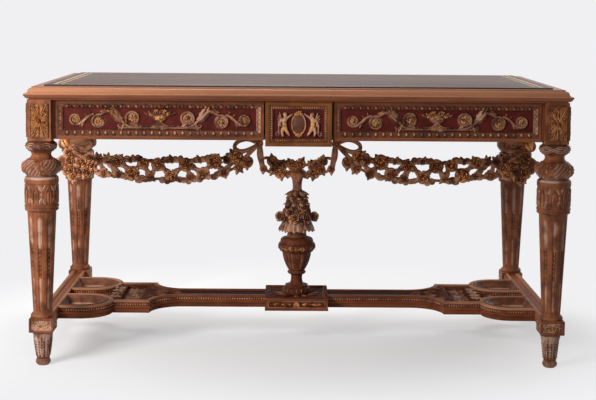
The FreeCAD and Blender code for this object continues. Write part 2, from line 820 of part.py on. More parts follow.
def make_bouquet():
    """Leaves spreading from the urn's mouth, three rings of flowers and the stem above them."""
    base = float(urn_top)
    up = FreeCAD.Vector(0, 0, 1)
    neck_top, leaf_top, core_top, low, middle, high = [
        float(urn_top + rise * stand_share) for rise in (
            D.bouquet_neck, D.bouquet_leaf_height, D.bouquet_height,
            D.flower_ring_low, D.flower_ring_mid, D.flower_ring_high)]
    mouth, leaf, core, stem, size, low_radius, middle_radius, high_radius = [
        float(radius * stand_share) for radius in (
            D.urn_mouth_radius, D.bouquet_leaf_radius, D.bouquet_core_radius, D.bouquet_stem_radius,
            D.flower_radius, D.flower_ring_low_radius, D.flower_ring_mid_radius,
            D.flower_ring_high_radius)]
    neck = Part.makeCylinder(mouth, neck_top - base, FreeCAD.Vector(0, 0, base), up)
    spread = Part.makeCone(mouth, leaf, leaf_top - neck_top, FreeCAD.Vector(0, 0, neck_top), up)
    foot = FreeCAD.Vector(0, 0, leaf_top)
    shape = neck.multiFuse([
        spread,
        Part.makeCylinder(core, core_top - leaf_top, foot, up),
        Part.makeCylinder(stem, float(stem_top) - leaf_top, foot, up),
        *flower_ring(6, low_radius, low, size, 0),
        *flower_ring(4, middle_radius, middle, size, 0.5),
        *flower_ring(4, high_radius, high, size, 0)])
    coded("bouquet", shape.removeSplitter())


def circle_through(first, second, third):
    """Centre and radius of the circle in the garland's plane through three (x, z) points."""
    (ax, az), (bx, bz), (cx, cz) = first, second, third
    span = 2 * (ax * (bz - cz) + bx * (cz - az) + cx * (az - bz))
    a2, b2, c2 = ax * ax + az * az, bx * bx + bz * bz, cx * cx + cz * cz
    x = (a2 * (bz - cz) + b2 * (cz - az) + c2 * (az - bz)) / span
    z = (a2 * (cx - bx) + b2 * (ax - cx) + c2 * (bx - ax)) / span
    return x, z, math.hypot(ax - x, az - z)


def hanging_row(arc, offset, radius, x_low, x_high):
    """A twig bent along the lower side of an arc, offset outwards from it, between two ends."""
    x, z, bend = arc
    whole = Part.makeTorus(bend + offset, radius, FreeCAD.Vector(x, 0, z), FreeCAD.Vector(0, 1, 0))
    reach = bend + offset + radius * 2
    corner = FreeCAD.Vector(x_low, -radius * 2, z - reach)
    return whole.common(Part.makeBox(x_high - x_low, radius * 4, reach, corner))


def below(arc, offset, at_x):
    """Height of the hanging arc, offset outwards, under a place on X."""
    x, z, bend = arc
    reach = bend + offset
    return z - math.sqrt(reach * reach - (at_x - x) ** 2)


def rose(x, z, size):
    return Part.makeSphere(size, FreeCAD.Vector(x, 0, z))


def hung(drop):
    """Height of a point of the garland, from its drop under the rail."""
    return float(garland_top - drop)


def side_garland():
    """Roses in two staggered rows on two twigs, hung from the end cluster to a bow at the strap."""
    outer, inner = float(swag_outer_x), float(D.swag_inner_x)
    row, twig = float(D.rose_row), float(D.twig_radius)
    arc = circle_through((outer, hung(D.swag_outer_drop)),
                         (float(swag_outer_x - D.swag_low_in), hung(D.swag_low_drop)),
                         (inner, hung(D.swag_inner_drop)))
    strap_x, end_x = float(D.strap_x), float(face_x)
    forms = [hanging_row(arc, side * row, twig, strap_x, end_x) for side in (1, -1)]
    pitch = float(D.rose_pitch)
    count = int((outer - inner) / pitch) + 1
    for index in range(count):
        x = inner + pitch * index
        forms.append(rose(x, below(arc, row if index % 2 else -row, x), float(D.rose_radius)))
    bow, band = float(D.bow_radius), float(D.bow_band)
    bow_x = inner + bow + band
    knot = FreeCAD.Vector(bow_x, 0, below(arc, -row, bow_x) + bow)
    forms.append(Part.makeTorus(bow, band, knot, FreeCAD.Vector(0, 1, 0)))
    return forms


def end_cluster():
    """Bow and flowers hung under the garland rail at the side of the desk."""
    size, step_x, step_z = float(D.cluster_rose), float(D.cluster_pitch_x), float(D.cluster_pitch_z)
    high = float(garland_top) - size / 2
    left = float(swag_outer_x) + size / 2
    forms = []
    for line, count in enumerate((3, 3, 3, 2)):
        for index in range(count):
            forms.append(rose(left + step_x * index, high - step_z * line, size))
    return forms


def centre_garland():
    """Two ribbon straps, the short swag between them and the flowers over the bouquet's stem."""
    strap_x, strap_low, centre_low = float(D.strap_x), hung(D.strap_drop), hung(D.centre_drop)
    strap, flower_x = float(D.strap_radius), float(D.centre_flower_x)
    high = float(garland_top + D.overrun)
    up = FreeCAD.Vector(0, 0, 1)
    arc = circle_through((-strap_x, strap_low + strap), (0, centre_low), (strap_x, strap_low + strap))
    forms = [hanging_row(arc, 0, strap / 2, -strap_x, strap_x),
             rose(0, centre_low, float(D.centre_rose))]
    stem = float(D.bouquet_stem_radius * stand_share)
    forms.append(Part.makeCylinder(stem, centre_low - float(stem_top),
                                   FreeCAD.Vector(0, 0, float(stem_top)), up))
    for side in (-1, 1):
        foot = FreeCAD.Vector(side * strap_x, 0, strap_low)
        forms.append(Part.makeCylinder(strap, high - strap_low, foot, up))
        forms.append(Part.makeSphere(float(D.strap_knob), foot))
        forms.append(rose(side * flower_x, hung(D.centre_flower_drop), float(D.centre_flower)))
    return forms


def within(forms, x_low, x_high, z_low, z_high):
    """The part of the joined forms that lies between two upright and two level planes."""
    deep = float(D.plinth_side)
    room = Part.makeBox(x_high - x_low, deep, z_high - z_low, FreeCAD.Vector(x_low, -deep / 2, z_low))
    near = [form for form in forms if form.BoundBox.intersect(room.BoundBox)]
    return near[0].multiFuse(near[1:]).common(room)


def make_garland():
    swag = side_garland()
    mirrored = [form.mirror(FreeCAD.Vector(0, 0, 0), FreeCAD.Vector(1, 0, 0)) for form in swag]
    cluster = end_cluster()
    centre = centre_garland()
    outer, inner = float(swag_outer_x), float(D.swag_inner_x)
    low, high = float(stretcher_top), float(garland_top)
    parts = {
        "garland_swag": within(swag + cluster + centre, inner, outer, low, high),
        "garland_end": within(swag + cluster, outer, float(face_x), low, high)}
    for name, shape in parts.items():
        coded(name + "_right", shape)
        other = shape.copy()
        other.rotate(FreeCAD.Vector(0, 0, 0), FreeCAD.Vector(0, 0, 1), 180)
        coded(name + "_left", other)
    coded("garland_centre", within(swag + mirrored + centre, -inner, inner, float(stem_top), high))


# plan of the drawers: the fronts meet over the dividers
side_inner_x = D.centre_front_length / 2 + D.front_gap
side_outer_x = block_inner_x - D.front_end_gap
divider_x = D.centre_front_length / 2 + D.front_gap / 2

make_top()
make_legs()
make_plaques()
make_frieze()
make_drawers()
make_stretcher()
make_urn()
make_bouquet()
make_garland()
doc.recompute()

faults = [thing.Name for thing in doc.Objects if "Invalid" in thing.State or "Error" in thing.State]
for piece in pieces:
    if piece.Shape.isNull() or not piece.Shape.isValid() or not piece.Shape.Solids:
        faults.append(piece.Label)
if faults:
    raise RuntimeError("pieces that failed: " + ", ".join(faults))

os.makedirs("parts", exist_ok=True)
for piece in pieces:
    piece.Shape.exportStep("parts/%s.step" % piece.Label)
    print("%-28s solids %d volume %.0f" % (piece.Label, len(piece.Shape.Solids), piece.Shape.Volume))
print(len(pieces), "pieces")
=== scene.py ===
import json
import math
import random

import bpy
from mathutils import Matrix, Vector

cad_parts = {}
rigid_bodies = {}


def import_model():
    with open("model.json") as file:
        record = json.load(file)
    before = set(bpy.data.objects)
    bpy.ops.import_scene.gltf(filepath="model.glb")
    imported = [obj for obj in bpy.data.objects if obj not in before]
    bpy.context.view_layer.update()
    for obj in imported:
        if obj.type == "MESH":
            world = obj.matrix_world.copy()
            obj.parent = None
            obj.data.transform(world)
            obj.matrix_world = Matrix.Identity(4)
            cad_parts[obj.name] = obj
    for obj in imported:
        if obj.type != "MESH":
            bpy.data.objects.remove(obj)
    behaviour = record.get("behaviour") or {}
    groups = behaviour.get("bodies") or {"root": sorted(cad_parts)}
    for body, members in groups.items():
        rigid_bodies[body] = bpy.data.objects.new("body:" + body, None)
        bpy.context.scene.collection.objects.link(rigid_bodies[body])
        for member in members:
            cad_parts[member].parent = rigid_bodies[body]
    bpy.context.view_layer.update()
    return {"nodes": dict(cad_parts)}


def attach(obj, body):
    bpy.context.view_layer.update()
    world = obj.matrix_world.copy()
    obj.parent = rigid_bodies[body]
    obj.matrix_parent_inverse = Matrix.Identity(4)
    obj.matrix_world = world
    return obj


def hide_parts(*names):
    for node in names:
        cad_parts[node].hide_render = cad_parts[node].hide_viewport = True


# Carved writing desk: leather top in a moulded walnut frame, three carved drawers, fluted legs,
# a moulded stretcher, and an urn and flower garland below the frieze.
# Sizes are in millimetres, turned into metres where a mesh is made.

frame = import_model()
MM = 0.001
UP, FLAT_UP = (0, 0, 1), (0, 1, 0)
MIRROR = Matrix.Diagonal((-1, 1, 1, 1))
# Degrees from which an edge stays sharp on turned and moulded work
CRISP = 38
chance = random.Random(17)
given = set(bpy.data.objects.keys())
pieces = []


# Hand tools

def deselect():
    bpy.ops.object.select_all(action="DESELECT")


def edit(action="SELECT"):
    bpy.ops.object.mode_set(mode="EDIT")
    bpy.ops.mesh.select_all(action=action)


def leave():
    bpy.ops.object.mode_set(mode="OBJECT")


def apply_place():
    bpy.ops.object.transform_apply(location=True, rotation=True, scale=True)


def alone(thing):
    """Make one object the only selected and the active one."""
    deselect()
    thing.select_set(True)
    bpy.context.view_layer.objects.active = thing
    return thing


def settled(angle=60, outward=True):
    """Finish the active object: place applied, doubles merged, normals out, smoothed by angle."""
    apply_place()
    edit()
    bpy.ops.mesh.remove_doubles(threshold=0.00001)
    if outward:
        bpy.ops.mesh.normals_make_consistent(inside=False)
    leave()
    bpy.ops.object.shade_smooth_by_angle(angle=math.radians(angle))
    return bpy.context.object


def bow(start, end, sag, count=6):
    """Points of a shallow curve from start to end, without the start; sag is to its left."""
    (ax, ay), (bx, by) = start, end
    run = math.hypot(bx - ax, by - ay)
    points = []
    for index in range(1, count + 1):
        t = index / count
        lift = 4 * t * (1 - t) * sag / run
        points.append((ax + (bx - ax) * t - (by - ay) * lift, ay + (by - ay) * t + (bx - ax) * lift))
    return points


def drawn(*steps):
    """An outline; a step is a point, or a point with the sag and count of the bow that leads to it."""
    line = []
    for x, y, *curve in steps:
        line += bow(line[-1], (x, y), *curve) if curve else [(x, y)]
    return line


def turned(outline, steps=48):
    """A turned piece: its outline of (radius, height) drawn point by point and spun about Z."""
    deselect()
    bpy.ops.mesh.primitive_plane_add(size=MM)
    edit()
    bpy.ops.mesh.merge(type="CENTER")
    here = None
    for radius, height in outline:
        there = Vector((radius, 0, height)) * MM
        if here is None:
            bpy.ops.transform.translate(value=there)
        else:
            bpy.ops.mesh.extrude_vertices_move(TRANSFORM_OT_translate={"value": there - here})
        here = there
    bpy.ops.mesh.select_all(action="SELECT")
    bpy.ops.mesh.spin(steps=steps, angle=math.tau, center=(0, 0, 0), axis=UP)
    leave()
    return settled(CRISP)


def stepped(rings):
    """A rectangular moulding raised ring by ring; a ring is (x low, x high, y low, y high, z)."""
    x0, x1, y0, y1, z = [size * MM for size in rings[0]]
    deselect()
    bpy.ops.mesh.primitive_plane_add(size=1, location=((x0 + x1) / 2, (y0 + y1) / 2, z))
    bpy.context.object.scale = (x1 - x0, y1 - y0, 1)
    apply_place()
    edit()
    for ring in rings[1:]:
        nx0, nx1, ny0, ny1, nz = [size * MM for size in ring]
        bpy.ops.mesh.extrude_region_move(TRANSFORM_OT_translate={"value": (0, 0, nz - z)})
        bpy.ops.transform.resize(value=((nx1 - nx0) / (x1 - x0), (ny1 - ny0) / (y1 - y0), 1),
                                 center_override=((x0 + x1) / 2, (y0 + y1) / 2, nz))
        bpy.ops.transform.translate(value=((nx0 + nx1 - x0 - x1) / 2, (ny0 + ny1 - y0 - y1) / 2, 0))
        x0, x1, y0, y1, z = nx0, nx1, ny0, ny1, nz
    leave()
    return settled(CRISP)


def around(half_x, half_y, steps):
    """Rings for stepped(): each step is (distance in from the half sizes, height)."""
    return [(d - half_x, half_x - d, d - half_y, half_y - d, z) for d, z in steps]


def sunk(block, chosen, *insets):
    """Sink a panel into every face that a rule chooses; an inset is (margin, height)."""
    alone(block)
    edit("DESELECT")
    bpy.ops.mesh.select_mode(type="FACE")
    leave()
    for face in block.data.polygons:
        face.select = chosen(face)
    bpy.ops.object.mode_set(mode="EDIT")
    for margin, height in insets:
        bpy.ops.mesh.inset(thickness=margin * MM, depth=height * MM, use_individual=True)
    bpy.ops.mesh.select_mode(type="VERT")
    leave()
    return block


def shape(thing, move):
    """Move every vertex by a rule on its place in millimetres."""
    for vertex in thing.data.vertices:
        vertex.co = Vector(move(*(vertex.co / MM))) * MM
    thing.data.update()
    return thing


def above(height, amount, rest=0.0):
    """A rule for paint(): an amount over a height and the rest elsewhere."""
    return lambda x, y, z: amount if z > height else rest


def below(height, amount, rest=0.0):
    """A rule for paint(): an amount under a height and the rest elsewhere."""
    return lambda x, y, z: amount if z < height else rest


def paint(thing, **layers):
    """Give every vertex its wax, gilt or deep, deep being painted shade: a number, or a rule on its place in
    millimetres.
    """
    mesh = thing.data
    for layer, rule in layers.items():
        amounts = mesh.attributes.get(layer) or mesh.attributes.new(layer, "FLOAT", "POINT")
        for vertex in mesh.vertices:
            amounts.data[vertex.index].value = rule(*(vertex.co / MM)) if callable(rule) else rule
    return thing


def at(x, y, z=0.0):
    return Matrix.Translation((x * MM, y * MM, z * MM))


def turn_about(degrees=0, size=1.0, out=0.0):
    """Place on the ground, turned about Z."""
    return Matrix.Rotation(math.radians(degrees), 4, "Z") @ at(0, out) @ Matrix.Scale(size, 4)


def spot(origin, out, up=UP, size=1.0):
    """Where an ornament goes: its own Z turned outwards and its Y upwards."""
    z = Vector(out).normalized()
    x = Vector(up).cross(z).normalized()
    axes = Matrix((x, z.cross(x), z)).transposed().to_4x4()
    scale = Matrix.Diagonal((*size, 1)) if isinstance(size, tuple) else Matrix.Scale(size, 4)
    return Matrix.Translation(Vector(origin) * MM) @ axes @ scale


def stamped(source, *places):
    """Copies of an ornament, each with its own mesh, at the given places."""
    copies = []
    for place in places:
        copy = source.copy()
        copy.data = source.data.copy()
        copy.data.transform(place)
        if place.determinant() < 0:
            copy.data.flip_normals()
        bpy.context.scene.collection.objects.link(copy)
        copies.append(copy)
    return copies


def hung(source, place):
    """One copy of a pattern at a place."""
    return stamped(source, place)[0]


def laid(source, level, rows):
    """Copies on the ground, at rows of (x, y) and what turn_about() takes."""
    return stamped(source, *[at(x, y, level) @ turn_about(*turn) for x, y, *turn in rows])


def joined(things):
    """One object out of several."""
    alone(things[0])
    for thing in things:
        thing.select_set(True)
    if len(things) > 1:
        bpy.ops.object.join()
    return bpy.context.object


def strand(points, radius, sides=1, flat=1.0):
    """A round stem through points; radius is one number or one for each point."""
    deselect()
    line = bpy.data.curves.new("strand", "CURVE")
    line.dimensions = "3D"
    line.bevel_depth = MM
    line.bevel_resolution = sides
    line.use_fill_caps = True
    line.resolution_u = 5
    spline = line.splines.new("NURBS")
    spline.points.add(len(points) - 1)
    for index, point in enumerate(points):
        spline.points[index].co = (*[size * MM for size in point], 1)
        spline.points[index].radius = radius if isinstance(radius, (int, float)) else radius[index]
    spline.order_u = 3
    spline.use_endpoint_u = True
    thing = bpy.data.objects.new("strand", line)
    bpy.context.scene.collection.objects.link(thing)
    alone(thing)
    bpy.ops.object.convert(target="MESH")
    if flat != 1.0:
        shape(bpy.context.object, lambda x, y, z: (x, y, z * flat))
    return settled()


def clad(name, piece, finishes, slot, *covered, body="desk"):
    """Name and dress a piece, hang it on its body and hide the solids it stands for."""
    piece.name = piece.data.name = name
    pieces.append(piece)
    slots = [face.material_index for face in piece.data.polygons]
    piece.data.materials.clear()
    for finish in finishes if isinstance(finishes, list) else [finishes]:
        piece.data.materials.append(finish)
    piece.data.polygons.foreach_set("material_index", slots)
    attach(piece, body)
    if covered:
        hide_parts(*covered)


# Finishes

class Wire:
    """An output socket of a finish: arithmetic adds Math nodes, node() adds any other node."""

    def __init__(self, tree, made=None, out=0):
        self.tree = tree
        self.made = made
        self.socket = made.outputs[out] if made else None

    def node(self, kind, settings=(), sockets=(), out=0):
        made = self.tree.nodes.new("ShaderNode" + kind)
        for name, value in dict(settings).items():
            setattr(made, name, value)
        for name, value in dict(sockets).items():
            if isinstance(value, Wire):
                self.tree.links.new(value.socket, made.inputs[name])
            else:
                made.inputs[name].default_value = value
        return Wire(self.tree, made, out)

    def other(self, out):
        """Another output of the same node."""
        return Wire(self.tree, self.made, out)

    def math(self, operation, *values):
        return self.node("Math", {"operation": operation}, dict(enumerate(values)))

    def __add__(self, other):
        return self.math("ADD", self, other)

    def __sub__(self, other):
        return self.math("SUBTRACT", self, other)

    def __rsub__(self, other):
        return self.math("SUBTRACT", other, self)

    def __mul__(self, other):
        return self.math("MULTIPLY", self, other)

    def __abs__(self):
        return self.math("ABSOLUTE", self)

    __radd__ = __add__
    __rmul__ = __mul__

    def step(self, low, high):
        """0 below low, 1 above high, and a soft rise between them."""
        return self.node("MapRange", {"interpolation_type": "SMOOTHSTEP"},
                         {0: self, 1: low, 2: high, 3: 0.0, 4: 1.0})

    def blend(self, first, second):
        """A colour between two, by this amount."""
        return self.node("Mix", {"data_type": "RGBA"}, {0: self, 6: first, 7: second}, 2)

    def axis(self, out):
        """One coordinate of a place: 0 for x, 1 for y, 2 for z."""
        return self.node("SeparateXYZ", {}, {0: self}, out)

    def noise(self, scale, detail, rough=0.5):
        return self.node("TexNoise", {}, {"Vector": self, "Scale": scale, "Detail": detail,
                                          "Roughness": rough})

    def stretched(self, scale):
        return self.node("Mapping", {}, {0: self, 3: scale})

    def bump(self, strength, distance):
        return self.node("Bump", {}, {"Strength": strength, "Distance": distance, "Height": self})


def colour(red, green, blue):
    """A colour as it is written on a screen, made linear."""
    return (*[((c / 255 + 0.055) / 1.055) ** 2.4 if c > 10 else c / 255 / 12.92
              for c in (red, green, blue)], 1.0)


def new_finish(name):
    """A new finish: its material, the place on the piece that it reads, and its shader."""
    material = bpy.data.materials.new(name)
    material.use_nodes = True
    place = Wire(material.node_tree).node("TexCoord", out=3)
    return material, place, material.node_tree.nodes["Principled BSDF"]


def connect(shader, **sockets):
    """Link or set the shader's sockets; underscores stand for spaces."""
    for name, value in sockets.items():
        socket = shader.inputs[name.replace("_", " ")]
        if isinstance(value, Wire):
            value.tree.links.new(value.socket, socket)
        else:
            socket.default_value = value


# Worn spots, the colour of a painted highlight band, and the painted shade of a groove
WORN_SPOT, PAINTED_HIGHLIGHT_BAND, GROOVE_PAINTED_SHADE = (160, 106, 76), (196, 136, 98), (48, 23, 15)
# Near black of the painted shade in the deepest cuts
CUT_PAINTED_SHADE = (30, 13, 8)


def polished_walnut(name, light, dark, stretch, sheen, gloss=0.2, painted_highlight_and_gilt_wear=None, groove=None):
    """Waxed walnut with a fine drawn out grain and a few darker veins.

    The band argument gives a pale band of painted highlight: its lowest and highest height, and how far from
    the middle it starts.
    groove is half the length of a dark stretch of painted shade about the middle.
    """
    material, place, shader = new_finish(name)
    fine = place.stretched(stretch).noise(60.0, 8.0, 0.7)
    vein = place.stretched(stretch).noise(14.0, 3.0, 0.6)
    wood = (fine * 0.55 + vein * 0.45).step(0.35, 0.68).blend(colour(*dark), colour(*light))
    worn = (place.noise(7.0, 2.0).step(0.5, 0.78) * 0.2).blend(wood, colour(*WORN_SPOT))
    from_middle = abs(place.axis(0)) if painted_highlight_and_gilt_wear or groove else None
    # Painted highlight: a pale band along a moulding between two heights
    if painted_highlight_and_gilt_wear:
        level = place.axis(2)
        low, high, far = [size * MM for size in painted_highlight_and_gilt_wear]
        band = level.step(low, low + 0.002) * (1 - level.step(high - 0.003, high))
        band = band * from_middle.step(far - 0.05, far + 0.05)
        worn = (band * (0.1 + vein * 1.1)).blend(worn, colour(*PAINTED_HIGHLIGHT_BAND))
    # Painted shade: the middle stretch of a groove darkened
    if groove:
        outside = from_middle.step((groove - 30) * MM, (groove + 30) * MM)
        worn = outside.blend(colour(*GROOVE_PAINTED_SHADE), worn)
    connect(shader, Base_Color=worn, Roughness=sheen + fine * 0.16, Normal=fine.bump(0.12, 0.0006),
            Specular_IOR_Level=gloss)
    return material


def carved_walnut(name, light, dark, wax_colour, gilt_colour, stretch=(1, 1, 1), scale=160.0, flecks=55.0,
                  gloss=0.22):
    """Carved wood: bare walnut, pale wax in the cuts, worn gilding up high and painted shade in the deep
    places.
    """
    material, place, shader = new_finish(name)
    wax, gilt, depth = [place.node("Attribute", {"attribute_name": layer}, out=2)
                        for layer in ("wax", "gilt", "deep")]
    fine = place.stretched(stretch).noise(scale, 6.0, 0.7)
    broad = place.noise(30.0, 4.0)
    wood = (fine * 0.5 + broad * 0.5).step(0.34, 0.66).blend(colour(*dark), colour(*light))
    waxed = wax * (broad.step(0.3, 0.62) * 0.7 + fine * 0.5)
    limed = (waxed.step(0.08, 0.78) * 0.9).blend(wood, colour(*wax_colour))
    painted_highlight_and_gilt_wear = (gilt * (place.noise(flecks, 3.0).step(0.38, 0.6) + 0.2)).step(0.12, 0.8)
    # Painted shade: the deep layer darkens the wood towards near black
    deep = depth.step(0.0, 1.0) * 0.78
    cut = deep.blend(painted_highlight_and_gilt_wear.blend(limed, colour(*gilt_colour)), colour(*CUT_PAINTED_SHADE))
    connect(shader, Base_Color=cut, Roughness=0.5 - painted_highlight_and_gilt_wear * 0.14 + fine * 0.12,
            Metallic=painted_highlight_and_gilt_wear * 0.3 * (1 - deep), Normal=fine.bump(0.25, 0.0008), Specular_IOR_Level=gloss)
    return material


def crimson_ground():
    """Worn dark red paint on the sunk grounds."""
    material, place, shader = new_finish("crimson_ground")
    fleck = place.noise(240.0, 3.0)
    red = place.noise(26.0, 5.0).step(0.35, 0.7).blend(colour(66, 17, 12), colour(90, 28, 20))
    worn = (fleck.step(0.6, 0.72) * 0.35).blend(red, colour(48, 17, 13))
    connect(shader, Base_Color=worn, Roughness=0.5 + fleck * 0.2, Normal=fleck.bump(0.15, 0.0005),
            Specular_IOR_Level=0.12)
    return material


LEATHER_X, LEATHER_Y = 715.5, 336.5
GOLD = (222, 190, 136)
# Distance of a line's middle from the edge, half its width, and its strength
GOLD_LINES = ((25.0, 2.6, 1.0), (42.0, 2.2, 0.75))


def tooled_leather():
    """Near black hide with a fine pebble, and a gold tooled border that is weaker along the front and the
    back.
    """
    material, place, shader = new_finish("tooled_leather")
    from_end = LEATHER_X * MM - abs(place.axis(0))
    from_side = LEATHER_Y * MM - abs(place.axis(1))
    inside = place.math("MINIMUM", from_end, from_side)
    lines = [(1 - abs(inside - middle * MM).step((half - 0.6) * MM, (half + 0.3) * MM)) * strength
             for middle, half, strength in GOLD_LINES]
    cloud = place.noise(9.0, 4.0)
    hide = cloud.step(0.3, 0.75).blend(colour(62, 40, 31), colour(84, 58, 46))
    flat = place.axis(2).step(799.2 * MM, 799.8 * MM).blend(colour(10, 7, 6), hide)
    # The foil is made weaker along the front and the back
    worn = 0.35 + 0.65 * (from_side - from_end).step(-20 * MM, 20 * MM)
    foil = place.math("MAXIMUM", *lines) * worn * 0.9
    pebble = place.node("TexVoronoi", {}, {"Vector": place, "Scale": 420.0})
    connect(shader, Base_Color=foil.blend(flat, colour(*GOLD)), Metallic=foil * 0.4,
            Roughness=0.44 + cloud * 0.16 - foil * 0.05, Normal=pebble.bump(0.2, 0.0004),
            Specular_IOR_Level=0.3)
    return material


WALNUT = (140, 78, 45), (84, 41, 22)
ALONG, ACROSS, UPRIGHT = (0.08, 1, 1), (1, 0.08, 1), (1, 1, 0.08)
walnut = polished_walnut("walnut", *WALNUT, ALONG, 0.34)
walnut_upright = polished_walnut("walnut_upright", *WALNUT, UPRIGHT, 0.34)
walnut_across = polished_walnut("walnut_across", *WALNUT, ACROSS, 0.34)
# The pale band on the nose of the top's edge is a painted highlight
edge_walnut = polished_walnut("edge_walnut", (150, 86, 54), (104, 54, 31), (0.06, 1, 1), 0.3, 0.25,
                              painted_highlight_and_gilt_wear=(774.5, 796, -100))
# The pale band on the upper faces of the stretcher's mouldings, away from the bars, is a painted highlight
walnut_low = polished_walnut("walnut_low", (136, 74, 46), (78, 39, 23), ALONG, 0.4, 0.06,
                             painted_highlight_and_gilt_wear=(132.5, 150, 450))
# A darker walnut for the hollow tops of the bars: painted shade
walnut_hollow_painted_shade = polished_walnut("walnut_hollow_painted_shade", (102, 56, 37), (60, 31, 20), ALONG, 0.6, 0.03, groove=410)
# A darker walnut for the plinth's sunk top: painted shade
walnut_sunk_painted_shade = polished_walnut("walnut_sunk_painted_shade", (98, 53, 34), (58, 29, 18), ALONG, 0.6, 0.03)
rail_walnut = polished_walnut("rail_walnut", (166, 98, 64), (116, 63, 39), ACROSS, 0.4, 0.05)
ochre = polished_walnut("ochre_gilt_frame", (134, 79, 34), (89, 48, 19), (0.3, 1, 0.3), 0.34, 0.12)
lining = polished_walnut("oak_lining", (168, 132, 92), (132, 98, 64), (1, 0.06, 1), 0.5)
carved = carved_walnut("carved_walnut", (128, 74, 46), (66, 33, 20), (184, 138, 112), (204, 134, 66))
relief = carved_walnut("relief_walnut", (116, 64, 42), (52, 25, 16), (172, 128, 104), (206, 142, 78),
                       flecks=110.0)
carved_dark = carved_walnut("carved_dark", (112, 58, 36), (56, 27, 16), (156, 116, 96), (184, 120, 60),
                            gloss=0.08)
garland_walnut = carved_walnut("garland_walnut", (148, 84, 52), (72, 36, 22), (208, 152, 118),
                               (228, 154, 90), flecks=100.0)
leg_walnut = carved_walnut("leg_walnut", (146, 84, 48), (82, 41, 23), (182, 148, 130), (184, 122, 64),
                           (1, 1, 0.12), 70.0, 110.0)
gilded = carved_walnut("gilded_carving", (128, 75, 44), (82, 44, 25), (190, 146, 112), (188, 126, 70),
                       flecks=140.0)
crimson = crimson_ground()
leather = tooled_leather()


# Top

TOP_X, TOP_Y = 765, 386


def make_top():
    """The moulded frame, and the leather slab that lies in it."""
    edge = drawn(
        (60, 760), (13, 760), (13, 763), (2, 771, 2.4), (0.4, 771.4), (0, 772), (0, 776), (0.6, 777),
        (2.4, 777.4), (11, 786.5, -2.6), (18.5, 792.4, 1.6), (20, 792.6), (20, 795.4), (20.6, 796), (60, 796))
    clad("top_frame", stepped(around(TOP_X, TOP_Y, edge)), edge_walnut, "walnut",
         "top_panel", "top_edge_front", "top_edge_right", "top_edge_back", "top_edge_left")
    slab = around(LEATHER_X, LEATHER_Y, [(0, 796), (0, 798.8), (0.5, 799.6), (1.4, 800)])
    clad("leather_slab", stepped(slab), leather, "leather", "leather_top")


make_top()


# Ornaments, each modelled once at the origin: X along, Y up, Z out of the wood

# A deep amount painted on an ornament is painted shade in its cuts, hollows and gaps
def grid(columns, rows, rule):
    """A sheet shaped by a rule on its own two directions, each from -1 to 1."""
    deselect()
    bpy.ops.mesh.primitive_grid_add(x_subdivisions=columns, y_subdivisions=rows, size=2 * MM)
    shape(bpy.context.object, lambda u, v, w: rule(u, v))
    return settled(50, outward=False)


def leaf(long, wide, rise, curl=0.0, lobes=0, columns=4, rows=8, blunt=0.9):
    """A pointed leaf along Y, its midrib raised, its edge lobed and its tip curling outwards."""
    def rule(u, v):
        t = (v + 1) / 2
        half = wide / 2 * math.sin(math.pi * min(t + 0.06, 1) ** 0.8) ** blunt
        half *= 1 + (0.16 * math.cos(math.tau * lobes * t) if lobes else 0)
        ridge = rise * (1 - abs(u) ** 1.3) * math.sin(math.pi * (0.12 + 0.88 * t)) ** 0.6
        return u * half, long * t, ridge + curl * t * t
    return grid(columns, rows, rule)


def ball(x, y, z, wide, high, deep, segments=14, rings=10):
    """An egg with its middle at a point."""
    deselect()
    bpy.ops.mesh.primitive_uv_sphere_add(segments=segments, ring_count=rings, radius=1)
    bpy.context.object.scale = (wide / 2 * MM, high / 2 * MM, deep / 2 * MM)
    bpy.context.object.location = (x * MM, y * MM, z * MM)
    return settled()


def dome(wide, high, rise, segments=8, rings=6):
    """A half egg on the ground."""
    ball(0, 0, 0, wide, high, 2 * rise, segments, rings)
    edit()
    bpy.ops.mesh.bisect(plane_co=(0, 0, 0), plane_no=UP, clear_inner=True)
    leave()
    return settled()


def flat_ring(radius, thick, segments, sides):
    """A round ring that lies on the ground."""
    deselect()
    bpy.ops.mesh.primitive_torus_add(major_radius=radius * MM, minor_radius=thick * MM,
                                     major_segments=segments, minor_segments=sides)
    return settled()


def rosette(radius, petals, rise):
    """A small open flower: pointed petals round a boss."""
    petal = leaf(radius * 0.86, radius * 0.8, rise * 0.7, rise * 0.25, rows=4)
    paint(petal, gilt=lambda x, y, z: 0.35 + 0.55 * y / radius,
          deep=lambda x, y, z: max(0, 0.75 - 1.4 * y / radius))
    boss = paint(dome(radius * 0.62, radius * 0.62, rise), gilt=0.9)
    places = [turn_about(360 * index / petals, 1, radius * 0.12) for index in range(petals)]
    return joined(stamped(petal, *places) + [boss])


def volute(radius, turns, thick, start, side=1, depth=0.8, wind=0.62):
    """A flat scroll that winds in from its rim; start is the angle of its outer end, in degrees."""
    last = int(turns * 12)
    points, sizes = [], []
    for index in range(last + 1):
        t = index / last
        angle = math.radians(start + side * 360 * turns * t)
        reach = radius * (1 - wind * t ** 0.85)
        points.append((reach * math.cos(angle), reach * math.sin(angle), thick * 0.5))
        sizes.append(thick * (1 - 0.5 * t))
    scroll = strand(points, sizes, flat=depth)
    return paint(scroll, wax=lambda x, y, z: 0.85 if math.hypot(x, y) < radius * 0.8 else 0.3,
                 gilt=above(thick, 0.45), deep=below(thick * 0.1, 0.5))


